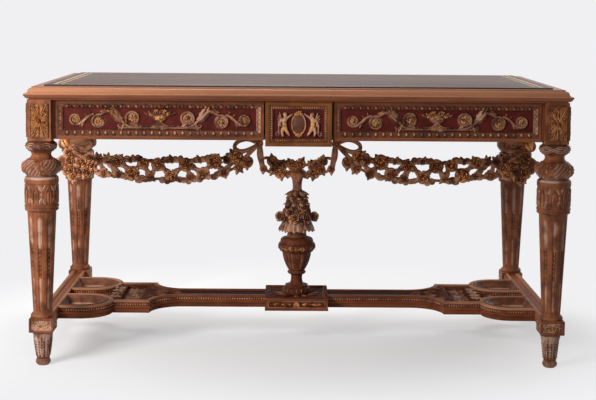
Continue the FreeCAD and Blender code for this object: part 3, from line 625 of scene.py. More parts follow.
def palmette(high, wide):
    """A fan of five leaves over two small scrolls."""
    blade = leaf(high * 0.66, wide * 0.24, 2.4, 0.8, columns=2, rows=4)
    paint(blade, wax=below(1.2, 0.9, 0.45))
    parts = laid(blade, 0, [(0, high * 0.24, turn, size) for turn, size in (
        (0, 1.1), (26, 1), (-26, 1), (56, 0.82), (-56, 0.82))])
    for side in (1, -1):
        scroll = volute(wide * 0.15, 1.1, 1.5, 90, side)
        parts += laid(scroll, 0, [(side * wide * 0.2, high * 0.14)])
    return joined(parts)


def bent(source, degrees, radius, level, reach=None):
    """A copy of a flat ornament bent round an upright form, reach(height) away from its axis."""
    def rule(x, y, z):
        angle = math.radians(degrees) + x / radius
        out = (reach(y) if reach else radius) + z
        return out * math.cos(angle), out * math.sin(angle), level + y
    return shape(hung(source, Matrix()), rule)


def ray(degrees, rise=0.0):
    """Direction out from an upright axis."""
    angle = math.radians(degrees)
    return Vector((math.cos(angle), math.sin(angle), rise))


def lift(z):
    return Vector((0, 0, z))


def polar(x, y):
    """Distance from the upright axis, and direction in degrees."""
    return math.hypot(x, y), math.degrees(math.atan2(y, x))


def pinched(share, x, y, z):
    """A point drawn towards the upright axis."""
    return x * share, y * share, z


def nearest(angle, step):
    """Angle to the nearest of the directions a step apart, in degrees."""
    return (angle + step / 2) % step - step / 2


# Legs; heights are from the floor, directions in degrees about the leg's axis

LEG_X, LEG_Y = 724, 338
CALF_LOW, CALF_HIGH = 24, 97
DADO_LOW, DADO_HIGH, SHAFT_LOW, DRUM_LOW, BULB_LOW = 99, 140, 162, 445, 545
NECK_LOW, TORUS_LOW, BLOCK_LOW, BLOCK_HIGH = 592, 613, 643, 760
FLUTE_LOW, FLUTE_HIGH = 166, 427
CHAIN_LOW, CHAIN_HIGH = 252, 338
BLOCK_HALF, DADO_HALF = 33, 34
TORUS_REACH = 42.4
BULB_TURN, BULB_BAND = 11, 17


def shaft(z):
    """Radius of the tapering shaft."""
    return 27 + 13.5 * (z - SHAFT_LOW) / (DRUM_LOW - SHAFT_LOW)


def flute_cut(z, radius, degrees):
    """Depth of a flute at a point of the shaft, and how much of its filling shows there."""
    half = 4.2 + 2.2 * (z - FLUTE_LOW) / (FLUTE_HIGH - FLUTE_LOW)
    across = math.radians(nearest(degrees, 45)) * radius / half
    beyond = max(FLUTE_LOW + half - z, z - FLUTE_HIGH + half, 0) / half
    reach = across * across + beyond * beyond
    if reach >= 1:
        return 0.0, 0.0
    groove = 0.85 * half * math.sqrt(1 - reach)
    if CHAIN_LOW < z < CHAIN_HIGH or abs(across) > 0.8:
        return groove, 0.2
    rod = half * (0.85 - 0.62 * math.sqrt(max(0, 1 - (across / 0.8) ** 2)))
    return min(groove, rod), 0.6


def hatch(z, degrees):
    """Slanting cuts in the slanting bands between the flowers on the bulb."""
    off = abs(nearest(degrees + 90 - BULB_TURN + 0.55 * (z - 568), 90))
    if off < BULB_BAND:
        return 0.0
    wave = 0.5 + 0.5 * math.cos(math.tau * ((z - BULB_LOW) / 13 - degrees / 14.4))
    fade = math.sin(math.pi * (z - BULB_LOW) / (NECK_LOW - BULB_LOW)) ** 0.4
    return wave * min((off - BULB_BAND) / 3, 1) * fade


def leg_outline():
    """Radius and height from the foot to the underside of the corner block."""
    line = drawn((0, 0), (14, 0), (17, 20, -5.8, 7), (18.6, 22))
    line += [(18.6 + 7.6 * t / 12 + 3.6 * (t / 12) ** 4, 22 + 75 * t / 12) for t in range(1, 13)]
    line += drawn((28, DADO_LOW), (28, DADO_HIGH), (33, DADO_HIGH), (31, 150, -2, 4), (29.5, 151),
                  (27, SHAFT_LOW, 1.6, 4))
    line += [(shaft(z), z) for z in [*range(SHAFT_LOW + 6, 433, 6), 436, 441, DRUM_LOW]]
    return line + drawn(
        (44, DRUM_LOW + 0.1), (46, DRUM_LOW + 8, -2.4, 4), (46, DRUM_LOW + 9.5), (48, DRUM_LOW + 10.5),
        (48, DRUM_LOW + 16), (46.4, DRUM_LOW + 17), (46.4, BULB_LOW - 22), (48, BULB_LOW - 21),
        (48, BULB_LOW - 11), (40.5, BULB_LOW - 1, -2.2, 5), (40.5, BULB_LOW), (38, NECK_LOW, -15.4, 16),
        (32, NECK_LOW + 0.1), (32, NECK_LOW + 3), (32, TORUS_LOW, 4.6, 6), (34, TORUS_LOW + 0.1),
        (34, BLOCK_LOW, -9, 10), (0, BLOCK_LOW))


def on_torus(source, degrees):
    """A copy of a flat ornament laid round the torus under the corner block."""
    return bent(source, degrees, TORUS_REACH, (TORUS_LOW + BLOCK_LOW) / 2,
                lambda y: TORUS_REACH - 9 * (y / 15) ** 2)


def on_bulb(source, degrees):
    """A copy of a flat ornament laid on the bulb."""
    return bent(source, degrees, 54, (BULB_LOW + NECK_LOW) / 2,
                lambda y: 28.6 + math.sqrt(659 - min(abs(y), 23) ** 2))


def guilloche(waves, steps=72):
    """Two double bands that plait round the torus, with an oval eye in every opening."""
    length = math.tau * TORUS_REACH
    bands = []
    for phase in (1, -1):
        for shift in (-2.5, 2.5):
            turns = [math.tau * waves * t / steps for t in range(steps + 1)]
            points = [(length * (t / steps - 0.5), 6.6 * phase * math.cos(turn) + shift,
                       0.9 + phase * 0.9 * math.sin(turn)) for t, turn in enumerate(turns)]
            band = paint(strand(points, 1.6), wax=above(0.8, 0.6, 0.2), deep=above(0.4, 0.0, 0.6))
            bands.append(on_torus(band, 0))
    rim = paint(flat_ring(4.6, 1.1, 16, 4), wax=0.8)
    eye = joined([rim, paint(dome(5, 5, 2.4), deep=0.5)])
    eye.data.transform(Matrix.Diagonal((2.2, 0.7, 1, 1)))
    bands += [on_torus(eye, 180 * index / waves) for index in range(2 * waves)]
    return bands


def bulb_flower():
    """A rosette in a ring of leaves."""
    flower = rosette(8, 6, 2.4)
    blade = paint(leaf(15, 10, 2.4, 0.6, rows=4), wax=below(1.2, 0.6, 0.2),
                  gilt=lambda x, y, z: 0.6 if y > 8 and abs(x) < 3 else 0.0,
                  deep=lambda x, y, z: 0.3 if y < 4 else 0.0)
    parts = [flower] + stamped(blade, *[turn_about(40 * index, 1, 4) for index in range(9)])
    return joined(parts)


def drum_band():
    """An arch over a drop, and beside it a stalk that spreads at its head and foot."""
    line = (2, 12), (1.6, 30), (2.4, 46), (9.5, 58), (16.6, 46), (17.4, 30), (17, 12)
    arch = strand([(x, y, 1.2) for x, y in line], 2.4)
    drop = dome(9, 30, 3.4)
    stalk = strand([(-9.5, 12, 1), (-9.5, 36, 1.4), (-9.5, 60, 1)], (1.6, 2.4, 1.6))
    knot = dome(9, 9, 3.8)
    blade = leaf(20, 8.5, 2.8, 1.2, rows=6)
    for thing, edge, top in ((arch, 1.0, 0.15), (drop, 0.8, 0.2), (stalk, 1.0, 0.3), (knot, 0.8, 0.3),
                             (blade, 1.4, 0.5)):
        paint(thing, wax=below(edge, 1.0, top))
    parts = [arch, stalk] + laid(drop, 0, [(9.5, 30)]) + laid(knot, 0, [(-9.5, 37)])
    parts += laid(blade, 0, [(-9.5, 46, 34), (-9.5, 46, -34), (-9.5, 27, 146), (-9.5, 27, -146)])
    band = joined(parts)
    band.data.transform(at(0, -6) @ Matrix.Diagonal((0.95, 1.06, 0.6, 1)))
    return band


def leg_cut(x, y, z):
    """The turned outline with its flutes, hatching and grooves cut in."""
    radius, degrees = polar(x, y)
    depth = 0.0
    if FLUTE_LOW - 1 < z < FLUTE_HIGH + 1:
        depth = flute_cut(z, radius, degrees)[0]
    elif BULB_LOW < z < NECK_LOW:
        depth = 1.9 * hatch(z, degrees)
    elif CALF_LOW < z < CALF_HIGH:
        depth = 1.8 * max(0, 1 - abs(nearest(degrees + 22.5, 45)) / 7)
    return pinched((radius - depth) / radius if radius else 1, x, y, z)


def leg_wax(x, y, z):
    """Pale wax left in the cuts of a leg."""
    radius, degrees = polar(x, y)
    if FLUTE_LOW - 1 < z < FLUTE_HIGH + 1:
        return flute_cut(z, radius + 2, degrees)[1]
    if BULB_LOW < z < NECK_LOW:
        return 0.8 * (1 - hatch(z, degrees)) ** 2 if hatch(z, degrees) else 0.15
    if CALF_LOW < z < CALF_HIGH:
        return 1.0 if abs(nearest(degrees, 90)) > 22.5 else 0.75
    if DRUM_LOW + 16.5 < z < BULB_LOW - 21.5:
        return 0.15
    # The pale shoulder under the bulb: wax and, in part, a painted reflection of the light on its top
    if BULB_LOW - 10.5 < z < BULB_LOW + 0.3:
        return 0.75
    return 0.2 if z > TORUS_LOW or DADO_HIGH < z < 152 else (0.5 if z < 22 else 0.0)


def leg_painted_shade(x, y, z):
    """Painted shade in the cuts and under the mouldings of a leg."""
    radius, degrees = polar(x, y)
    if BULB_LOW < z < NECK_LOW:
        return 0.7 * hatch(z, degrees)
    if CALF_LOW < z < CALF_HIGH and abs(nearest(degrees + 22.5, 45)) < 5:
        return 0.45
    if z > TORUS_LOW + 2 or BULB_LOW - 3 < z <= BULB_LOW:
        return 0.7
    return 0.55 if CHAIN_LOW < z < CHAIN_HIGH and flute_cut(z, radius + 3, degrees)[0] > 2.4 else 0.0


def make_leg():
    """The turned length of a leg, and apart from it its two square blocks."""
    parts = [paint(shape(turned(leg_outline(), 96), leg_cut), wax=leg_wax, deep=leg_painted_shade)]
    block = stepped(around(BLOCK_HALF, BLOCK_HALF, [
        (1, BLOCK_LOW), (0, BLOCK_LOW + 1), (0, BLOCK_HIGH)]))
    dado = stepped(around(DADO_HALF, DADO_HALF, [
        (1.5, DADO_LOW), (0, DADO_LOW + 1.5), (0, DADO_HIGH - 1.5), (1.5, DADO_HIGH)]))
    sunk(dado, lambda face: abs(face.normal.z) < 0.1, (5, 0), (0.8, -2))
    paint(dado, wax=lambda x, y, z: 0.8 if max(abs(x), abs(y)) < 32.3 else 0.05)
    square = [block, dado]
    flower = rosette(9, 6, 3.2)
    side_leaf = paint(leaf(17, 9, 2.6, 1.0, 2), gilt=above(1.4, 0.5, 0.1), wax=0.6)
    foot_leaf = paint(leaf(62, 13, 2.6, 1.6, 5, 4, 16), wax=below(1.8, 0.9, 0.3),
                      deep=below(0.4, 0.6))
    collar = paint(leaf(30, 18, 2.6, -0.6, rows=6), wax=below(1.6, 0.9, 0.3))
    seed = paint(dome(4.6, 6.4, 2.2, 6, 4), deep=0.55)
    husk = paint(dome(5.4, 10.5, 3.2, 6, 4), gilt=0.25, wax=0.3)
    scroll = paint(volute(7.6, 1.2, 2.4, 180), gilt=above(1, 0.6, 0.2), wax=0.6)
    fan, cluster = drum_band(), bulb_flower()
    for quarter in range(4):
        out = ray(90 * quarter - 90)
        along = Vector((-out.y, out.x, 0))
        face = out * (DADO_HALF - 2) + lift((DADO_LOW + DADO_HIGH) / 2)
        square += stamped(flower, spot(face, out, UP, 0.8))
        square += stamped(scroll, *[spot(face + along * 14 * way, out) @ Matrix.Diagonal((way, 1, 1, 1))
                                    for way in (1, -1)])
        square += stamped(side_leaf, *[
            spot(face + along * reach * way + lift(5 * lean), out, along * way + lift(lean), 0.62)
            for way in (1, -1) for reach, lean in ((18, -1), (18, 0), (18, 1), (4, -1), (4, 1))])
        parts.append(on_bulb(cluster, 90 * quarter + BULB_TURN))
    for index in range(8):
        out, side, lean = ray(45 * index), ray(45 * index + 22.5), lift(-0.12)
        for turn in (0,) if index % 2 else (-15, 15):
            way = ray(45 * index + turn)
            parts += stamped(seed, *[
                spot(way * (18.4 + 0.11 * rise) + lift(22 + rise), way, (turn / 15, 0, 1))
                for rise in range(8, 56, 8)])
        if index % 2 == 0:
            parts += stamped(foot_leaf, spot(out * 18.6 + lift(26), out + lean))
        parts += stamped(collar, spot(side * 28 + lift(98), side + 2 * lean, (0, 0, -1)))
        for z in [CHAIN_LOW + 6 + step * 12.4 for step in range(7)]:
            parts += stamped(husk, spot(out * (shaft(z) - 4.2) + lift(z), out))
        parts.append(bent(fan, 45 * index + 22.5, 46.3, DRUM_LOW + 16))
    parts += guilloche(3)
    return joined(parts), joined(square)


def make_legs():
    turning, square = make_leg()
    for end, y in (("front", -LEG_Y), ("back", LEG_Y)):
        for hand, x, turn in (("left", -LEG_X, 0), ("right", LEG_X, 45)):
            name = "leg_%s_%s" % (end, hand)
            leg = joined(laid(turning, 0, [(x, y, turn)]) + laid(square, 0, [(x, y)]))
            clad("carved_" + name, leg, leg_walnut, "carved_walnut", name)


def make_plaques():
    """Gilded panels on the corner blocks: leaves that fan out from a boss, ribs to the corners."""
    def panel(*steps):
        return stepped(around(25, 47.5, steps))
    plate = paint(panel((0, 0), (0, 2), (1, 3)), gilt=0.4, deep=0.25)
    rim = paint(panel((0, 1), (0, 4.6), (2, 4.6), (2.6, 2.6)), gilt=0.3)
    blade = paint(leaf(10, 6.6, 4.2, 1.2, rows=6), gilt=above(2, 1.0, 0.3),
                  deep=above(1, 0.0, 0.5))
    rib = paint(leaf(46, 5.0, 5.6, columns=2, rows=4, blunt=0.3), wax=above(1, 0.95, 0.4),
                gilt=0.2)
    boss = paint(dome(11, 13, 7, 12), deep=below(4, 0.4, 0.1))
    parts = [plate, rim] + stamped(boss, at(0, 0, 3))
    ground = at(0, 0, 2.6)
    for turn in range(0, 360, 18):
        across, along = [max(abs(way(math.radians(turn))), 0.01) for way in (math.sin, math.cos)]
        edge = min(23.5 / across, 46 / along)
        for start, share in ((6, 0.6), (0.42 * edge, 0.58)):
            stretch = Matrix.Diagonal((0.9, share * edge / 10, 1, 1))
            parts += stamped(blade, ground @ turn_about(turn, 1, start) @ stretch)
    corner = math.degrees(math.atan2(23, 44.5))
    parts += stamped(rib, *[ground @ turn_about(turn, 1, 4)
                            for turn in (corner, -corner, 180 + corner, 180 - corner)])
    pattern = joined(parts)
    places = []
    for way_x in (-1, 1):
        for way_y in (-1, 1):
            x, y, z = way_x * LEG_X, way_y * LEG_Y, (BLOCK_LOW + BLOCK_HIGH) / 2
            places += [spot((x, y + way_y * BLOCK_HALF, z), (0, way_y, 0)),
                       spot((x + way_x * BLOCK_HALF, y, z), (way_x, 0, 0))]
    clad("gilded_plaques", joined(stamped(pattern, *places)), gilded, "gilding", "corner_plaques")


make_legs()
make_plaques()


# Frieze: drawer fronts and aprons, drawn flat with X along, Y up and Z out of the board

FRIEZE_LOW, FRIEZE_HIGH, DRAWER_HIGH = 648, 760, 758
BOARD_BACK, BOARD_THICK, PANEL_SINK = 333, 20, 8
PANEL_HALF, PANEL_LOW, PANEL_HIGH = 269.5, 675, 736
PANEL_MOULDING = (16, 16.5, 12)
EGG_PITCH, BEAD_PITCH = 21.56, 6.2
DRAWER_X, DRAWER_HALF = 389.5, 292
SIDE_X, SIDE_HALF = 719, 305
BACK_X, BACK_HALF = 393.25, 297.75
STILE_IN, STILE_OUT, STILE_FRONT, STILE_BACK = 682.3, 691.4, -351, -334
# Half width, lower edge, upper edge and thickness of the two boards in the middle
CENTRE_DRAWER = 93.5, 632, 758.5, 29
CENTRE_BACK = 95.5, FRIEZE_LOW, FRIEZE_HIGH, BOARD_THICK


def sort_faces(thing, ground, face):
    """Slots by height: 0 for the plain wood, 1 for the sunk ground, 2 for the carved moulding."""
    for polygon in thing.data.polygons:
        height = polygon.center.z / MM
        if abs(height - ground) < 0.2 and polygon.normal.z > 0.9:
            polygon.material_index = 1
        elif ground < height < face - 0.6 and polygon.normal.z > 0.05:
            polygon.material_index = 2
    return thing


def long_front(half, high):
    """A board with a sunk panel: plain face, quirk, quarter round down to the red ground.

    The rings lie at shares of the plain face, from -1 to 0, and of the moulding, from 0 to 1.
    """
    thick, ground = BOARD_THICK, BOARD_THICK - PANEL_SINK
    whole = half - PANEL_HALF, PANEL_LOW - FRIEZE_LOW, high - PANEL_HIGH
    plain = [size - wide for size, wide in zip(whole, PANEL_MOULDING)]
    steps = [(-1, 0), (-1, thick - 1), (-0.94, thick), (0, thick), (0.02, thick - 1.6)]
    for step in range(1, 8):
        angle = math.radians(90 * step / 7)
        steps.append((0.02 + 0.96 * math.sin(angle),
                      thick - 1.6 - (PANEL_SINK - 2.4) * (1 - math.cos(angle))))
    rings = []
    for share, z in steps + [(1, ground)]:
        side, under, over = [size * (1 + share) if share < 0 else size + share * wide
                             for size, wide in zip(plain, PANEL_MOULDING)]
        rings.append((side - half, half - side, FRIEZE_LOW + under, high - over, z))
    return paint(sort_faces(stepped(rings), ground, thick), deep=0.4)


def egg_rows():
    """Egg and dart along the long sides, a column of small leaves down each end."""
    # The upper row's eggs take less wax: painted shade under the nose of the top
    eggs = [paint(dome(9, 13, 5.0, 10), gilt=above(2.6, gilt), wax=above(2.6, wax, 0.1),
                  deep=below(1.2, 0.8)) for wax, gilt in ((0.75, 0.3), (0.3, 0.35))]
    shell = paint(flat_ring(7.6, 1.3, 14, 4), deep=above(0, 0.2, 0.9))
    dart = paint(leaf(13, 5.2, 4.0, columns=2, rows=2), deep=below(1, 0.5, 0.1))
    small = paint(leaf(13, 11, 3, 1, rows=4), wax=below(2, 0.5, 0.25), gilt=above(3, 0.6))
    parts = []
    rows = (PANEL_LOW - 8.4, 0.42, 1.0), (PANEL_HIGH + 6.2, -0.55, 0.78)
    for egg, (y, tilt, tall) in zip(eggs, rows):
        lean = (0, tilt, 1), FLAT_UP, (1, tall, 1)
        for index in range(25):
            x = (index - 12) * EGG_PITCH
            place = spot((x, y, BOARD_THICK - 3.4), *lean)
            parts += stamped(egg, place) + stamped(shell, place @ Matrix.Diagonal((1, 1.12, 1, 1)))
            if index:
                parts += stamped(dart, spot((x - EGG_PITCH / 2, y - 6 * tall, BOARD_THICK - 3.2), *lean))
    # The right end is painted pale, a painted highlight, and the left end darker, a painted shade, as the
    # light comes from the left
    for side, wax, deep in ((-1, 0.1, 0.35), (1, 0.85, 0.0)):
        x, out = side * (PANEL_HALF + 7.6), (-side * 0.4, 0, 1)
        slab = paint(stepped(around(6.4, 36, [(0, 0), (0, 0.8), (1, 1.4)])), wax=wax, deep=deep)
        parts += stamped(slab, spot((x, (PANEL_LOW + PANEL_HIGH) / 2, BOARD_THICK - 3.8), out, FLAT_UP))
        parts += stamped(small, *[spot((x, PANEL_LOW - 1 + index * 13.4, BOARD_THICK - 2.8), out, FLAT_UP,
                                       (0.9, 0.9, 0.6)) for index in range(5)])
    return joined(parts)


def scrollwork():
    """Flower vase between scrolling stems with volutes, on the ground of a long panel."""
    flower = rosette(10.5, 7, 5)
    blade = paint(leaf(30, 13, 4.5, 2.5, 3, 4, 9), wax=lambda x, y, z: 0.7 if x > 0 else 0.3,
                  gilt=above(3.6, 0.5), deep=below(1, 0.4))
    sprig = paint(leaf(13, 6.5, 3, 2, columns=2, rows=4), wax=0.3,
                  gilt=lambda x, y, z: 0.55 if y > 7 else 0.0)
    half = []
    for x, y, radius, start, side in (
            (-237, -1, 17, -60, -1), (-172, -7, 21, 65, 1), (-76, 3, 21, 215, -1)):
        scroll = paint(volute(radius, 1.0, 4.4, start, side, 1.0, 0.34), wax=below(3, 0.2, 0.45),
                       gilt=above(4.6, 0.3), deep=below(1, 0.7))
        dish = paint(dome(radius * 1.9, radius * 1.9, 2.2, 16),
                     wax=lambda x, y, z: 0.8 if x + y < radius * 0.5 else 0.35)
        half += laid(scroll, 0, [(x, y)]) + laid(dish, 0, [(x, y)])
        half += laid(flower, 1.6, [(x, y, 20, radius / 19)])
    for points, sizes in (
            ([(-163, 13), (-153, 20), (-143, 23), (-133, 20), (-124, 12)], (3.6, 4, 4.4, 4.6, 4.2)),
            ([(-184, 13), (-196, 10), (-206, 2), (-216, -9), (-229, -16)], (3.4, 3.6, 3.8, 3.8, 3.6)),
            ([(-66, -23), (-82, -22), (-96, -16), (-106, -6), (-116, 5), (-124, 12)],
             (2.6, 3.2, 3.8, 4.2, 4.4, 4.2)),
            ([(0, -23), (-30, -25), (-62, -24.5), (-92, -24), (-110, -25), (-118, -20), (-114, -14),
              (-108, -17)], (2.6, 2.6, 2.5, 2.4, 2.4, 2.2, 1.8, 1.4)),
            ([(-4, -8), (-10, -16), (-24, -20), (-40, -18)], (2.6, 2.4, 2, 1.4))):
        stem = strand([(x, y, 3) for x, y in points], [size * 1.15 for size in sizes], flat=0.8)
        half.append(paint(stem, wax=above(4, 0.45, 0.15), gilt=above(5, 0.35), deep=below(1.6, 0.6)))
    half += laid(blade, 1.2, [(x, y, turn, size * 1.15) for x, y, turn, size in (
        (-106, -8, 48, 1.5), (-112, 0, 28, 1.2), (-104, -2, 66, 1.15), (-130, 18, 30, 0.7),
        (-196, 8, 130, 0.55), (-212, -6, 160, 0.6), (-150, 21, 95, 0.6), (-98, -14, 150, 0.7),
        (-60, -23, 60, 0.65), (-84, -23, 66, 0.6))])
    half += laid(sprig, 0, [
        (-203, 5, 40), (-219, -11, 150), (-192, 11, 20), (-146, 22, 60), (-137, 21, -20), (-118, 6, 100),
        (-110, -2, 120), (-92, -18, 150), (-112, -24, 160), (-98, -24, 70), (-70, -24, 70), (-46, -24, 66),
        (-26, -24, 62), (-214, -7, 70), (-159, 17, 100)])
    one = joined(half)
    parts = [one] + stamped(one, MIRROR)
    bowl = shape(dome(46, 30, 8, 16, 8), lambda x, y, z: (
        x * (1 - 0.55 * max(0, -y / 15)), y, z * (1 + 0.12 * math.cos(x * 0.9))))
    foot = dome(20, 9, 6, 12)
    for thing, y in ((bowl, 3), (foot, -13)):
        parts += laid(paint(thing, wax=0.25, gilt=above(6, 0.5)), 0, [(0, y)])
    parts += laid(blade, 1, [(0, -27, turn, size) for turn, size in (
        (0, 0.5), (34, 0.62), (-34, 0.62), (62, 0.8), (-62, 0.8), (80, 0.95), (-80, 0.95))])
    parts += laid(sprig, 2, [(x, 12, -x * 2.3, 1.25) for x in (-30, -21, -12, -4, 4, 12, 21, 30)])
    parts += laid(flower, 2, [(x, y, x * 7, 0.72) for x, y in (
        (-24, 14), (-12, 21), (0, 16), (12, 21), (24, 14))])
    return joined(parts)


def centre_front(half, low, high, thick):
    """A board with an ochre frame, a beaded hollow and a red ground."""
    steps = drawn((0, 0), (0, thick - 1), (1, thick), (3, thick), (11, thick - 0.6, 1.1, 5), (12, thick),
                  (12.7, thick - 3.2), (21.4, thick - 3.8), (22.4, thick - PANEL_SINK))
    rings = [(d - half, half - d, low + d, high - d, z) for d, z in steps]
    return sort_faces(stepped(rings), thick - PANEL_SINK, thick - 2)


def bead_border(half, low, high, thick):
    """A close row of beads in the hollow round the centre ground."""
    bead = paint(dome(5, 5, 2.6, 6, 4), wax=above(1.4, 0.8), deep=above(1, 0.0, 0.8))
    x_end, y_low, y_high = half - 17.2, low + 17.2, high - 17.2
    across, up = int(2 * x_end / BEAD_PITCH), int((y_high - y_low) / BEAD_PITCH)
    rows = [(-x_end + 2 * x_end * index / across, y)
            for index in range(across + 1) for y in (y_low, y_high)]
    rows += [(x, y_low + (y_high - y_low) * index / up)
             for index in range(1, up) for x in (-x_end, x_end)]
    return joined(laid(bead, thick - 3.6, rows))


def limb(start, end, thick_start, thick_end):
    """A rounded limb between two points, in relief."""
    (ax, ay), (bx, by) = start, end
    shares = [t / 4 for t in range(5)]
    return strand([(ax + (bx - ax) * t, ay + (by - ay) * t, 4) for t in shares],
                  [thick_start + (thick_end - thick_start) * t for t in shares], sides=3)


def supporter():
    """A small winged figure in relief that leans on the shield, its face plain and calm."""
    # Head, chest, belly, hips and hair, then legs, arms and scarf
    body = [ball(*sizes) for sizes in (
        (36, 21, 5, 11, 12.5, 10), (39, 8.5, 4, 15, 17, 10), (38.5, -1, 4, 13.5, 13, 10),
        (38, -8, 4, 15, 11, 10), (37, 24, 4.4, 12.5, 9, 9.5))]
    body += [limb(*sizes) for sizes in (
        ((42, -9), (46, -20), 5.6, 4.4), ((46, -20), (42, -30), 4.2, 2.8),
        ((36, -10), (31, -19), 5.6, 4.4), ((31, -19), (24, -28), 4.2, 2.8),
        ((34, 13), (27, 18), 3.6, 3), ((27, 18), (15, 25), 3, 2.2),
        ((44, 12), (51, 4), 3.6, 3), ((51, 4), (48, -6), 3, 2.2),
        ((47, 14), (54, -2), 2.4, 2.6), ((54, -2), (53, -24), 2.6, 1.8))]
    figure = alone(joined(body))
    remesh = figure.modifiers.new("flesh", "REMESH")
    remesh.mode = "VOXEL"
    remesh.voxel_size = 0.9 * MM
    smooth = figure.modifiers.new("smooth", "SMOOTH")
    smooth.factor = 0.6
    smooth.iterations = 4
    for modifier in ("flesh", "smooth"):
        bpy.ops.object.modifier_apply(modifier=modifier)
    paint(settled(), gilt=above(6.6, 0.55), wax=0.9, deep=below(2.4, 0.7))
    feather = paint(leaf(20, 6, 2.6, 2, columns=2, rows=4), wax=0.7,
                    gilt=lambda x, y, z: 0.4 if y > 10 else 0.0)
    wing = laid(feather, 2, [(46, 9 - 2 * index, -18 - 19 * index, 1.08 - 0.12 * index)
                             for index in range(5)])
    return joined([figure] + wing)


def cartouche():
    """Oval shield with a crest of leaves, held by two small figures."""
    shield = paint(dome(36, 50, 5.5, 24, 12), deep=0.2)
    rim = paint(flat_ring(18.6, 2, 28, 6), wax=0.9, gilt=0.4)
    blade = paint(leaf(14, 7, 3, 2, 2), gilt=0.5, wax=0.5)
    flower = rosette(6, 6, 4)
    swirl = volute(7, 1.2, 1.6, 90)
    one = supporter()
    parts = [shield, one] + stamped(one, MIRROR)
    parts += stamped(rim, at(0, 0, 2) @ Matrix.Diagonal((1, 1.38, 1.2, 1)))
    parts += laid(blade, 3, [
        (0, 24, 0, 0.75), (0, 24, 42, 0.9), (0, 24, -42, 0.9), (0, 23, 78, 1.1), (0, 23, -78, 1.1),
        (0, -23, 120, 0.9), (0, -23, -120, 0.9), (0, -23, 150, 0.6), (0, -23, -150, 0.6)])
    parts += laid(flower, 4, [(0, 26), (0, -27)])
    parts += stamped(swirl, at(58, -24), at(-58, -24) @ MIRROR)
    return joined(parts)


def facing(x, y, turn):
    """From a board drawn flat to its place: its back plane stands upright at (x, y), turned about Z."""
    upright = Matrix(((1, 0, 0, 0), (0, 0, -1, 0), (0, 1, 0, 0), (0, 0, 0, 1)))
    return at(x, y) @ turn_about(turn) @ upright


def make_frieze():
    eggs, scrolls, shield = egg_rows(), scrollwork(), cartouche()
    raised = at(0, (PANEL_LOW + PANEL_HIGH) / 2, BOARD_THICK - PANEL_SINK)

    def dressed(stem, body, board, wood, place, solid, *carving):
        clad(stem + "_board", hung(board, place), [wood, crimson, carved], "walnut", solid, body=body)
        clad(stem + "_egg_rows", hung(eggs, place), carved, "carved_walnut", body=body)
        clad(stem + "_scrollwork", hung(scrolls, place @ raised), relief, "gilding", *carving, body=body)

    drawer = long_front(DRAWER_HALF, DRAWER_HIGH)
    for hand, x in (("left", -DRAWER_X), ("right", DRAWER_X)):
        name = "drawer_" + hand
        dressed(name, name, drawer, walnut, facing(x, -BOARD_BACK, 0), name + "_front", name + "_carving")
    apron = long_front(SIDE_HALF, FRIEZE_HIGH)
    for hand, x, turn in (("left", -SIDE_X, -90), ("right", SIDE_X, 90)):
        dressed("apron_" + hand, "desk", apron, walnut_across, facing(x, 0, turn), "apron_" + hand)

    apron = long_front(BACK_HALF, FRIEZE_HIGH)
    boards, shapes = [], []
    for x in (-BACK_X, BACK_X):
        place = facing(x, BOARD_BACK, 180)
        boards.append(hung(apron, place))
        shapes += [hung(eggs, place), hung(scrolls, place @ raised)]

    place, name = facing(0, -BOARD_BACK, 0), "drawer_centre"
    tall = at(0, 695, CENTRE_DRAWER[-1] - PANEL_SINK) @ Matrix.Diagonal((1.03, 1.16, 1, 1))
    clad(name + "_board", hung(centre_front(*CENTRE_DRAWER), place), [ochre, crimson, carved], "walnut",
         name + "_front", body=name)
    clad(name + "_beads", hung(bead_border(*CENTRE_DRAWER), place), carved, "carved_walnut", body=name)
    clad(name + "_cartouche", hung(shield, place @ tall), relief, "gilding", name + "_carving", body=name)

    place = facing(0, BOARD_BACK, 180)
    small = at(0, (FRIEZE_LOW + FRIEZE_HIGH) / 2, BOARD_THICK - PANEL_SINK)
    small = small @ Matrix.Diagonal((0.86, 0.86, 0.9, 1))
    clad("apron_back_boards", joined(boards), [walnut, crimson, carved], "walnut", "apron_back")
    clad("apron_back_centre", hung(centre_front(*CENTRE_BACK), place), [ochre, crimson, carved], "walnut")
    shapes += [hung(bead_border(*CENTRE_BACK), place), hung(shield, place @ small)]
    clad("apron_back_relief", joined(shapes), relief, "gilding")


def make_stiles():
    """Upright strips that close the frieze between the side drawers and the corner blocks."""
    steps = (0.6, FRIEZE_LOW + 0.5), (0, FRIEZE_LOW + 1.1), (0, FRIEZE_HIGH - 0.6), (0.6, FRIEZE_HIGH)
    strips = [stepped([(low + d, high - d, STILE_FRONT + d, STILE_BACK, z) for d, z in steps])
              for low, high in ((-STILE_OUT, -STILE_IN), (STILE_IN, STILE_OUT))]
    clad("end_stiles", joined(strips), walnut_upright, "walnut")


make_frieze()
make_stiles()


# Garland, bouquet and urn; the garland lies in the plane of X and Z, alike to the front and to the back

ROSE_RADIUS, LEAF_LONG = 20, 34


def thickened(thing, thick):
    """Give a leaf or petal its wood."""
    wall = alone(thing).modifiers.new("wood", "SOLIDIFY")
    wall.thickness = thick * MM
    wall.offset = 0
    bpy.ops.object.modifier_apply(modifier="wood")
    return thing


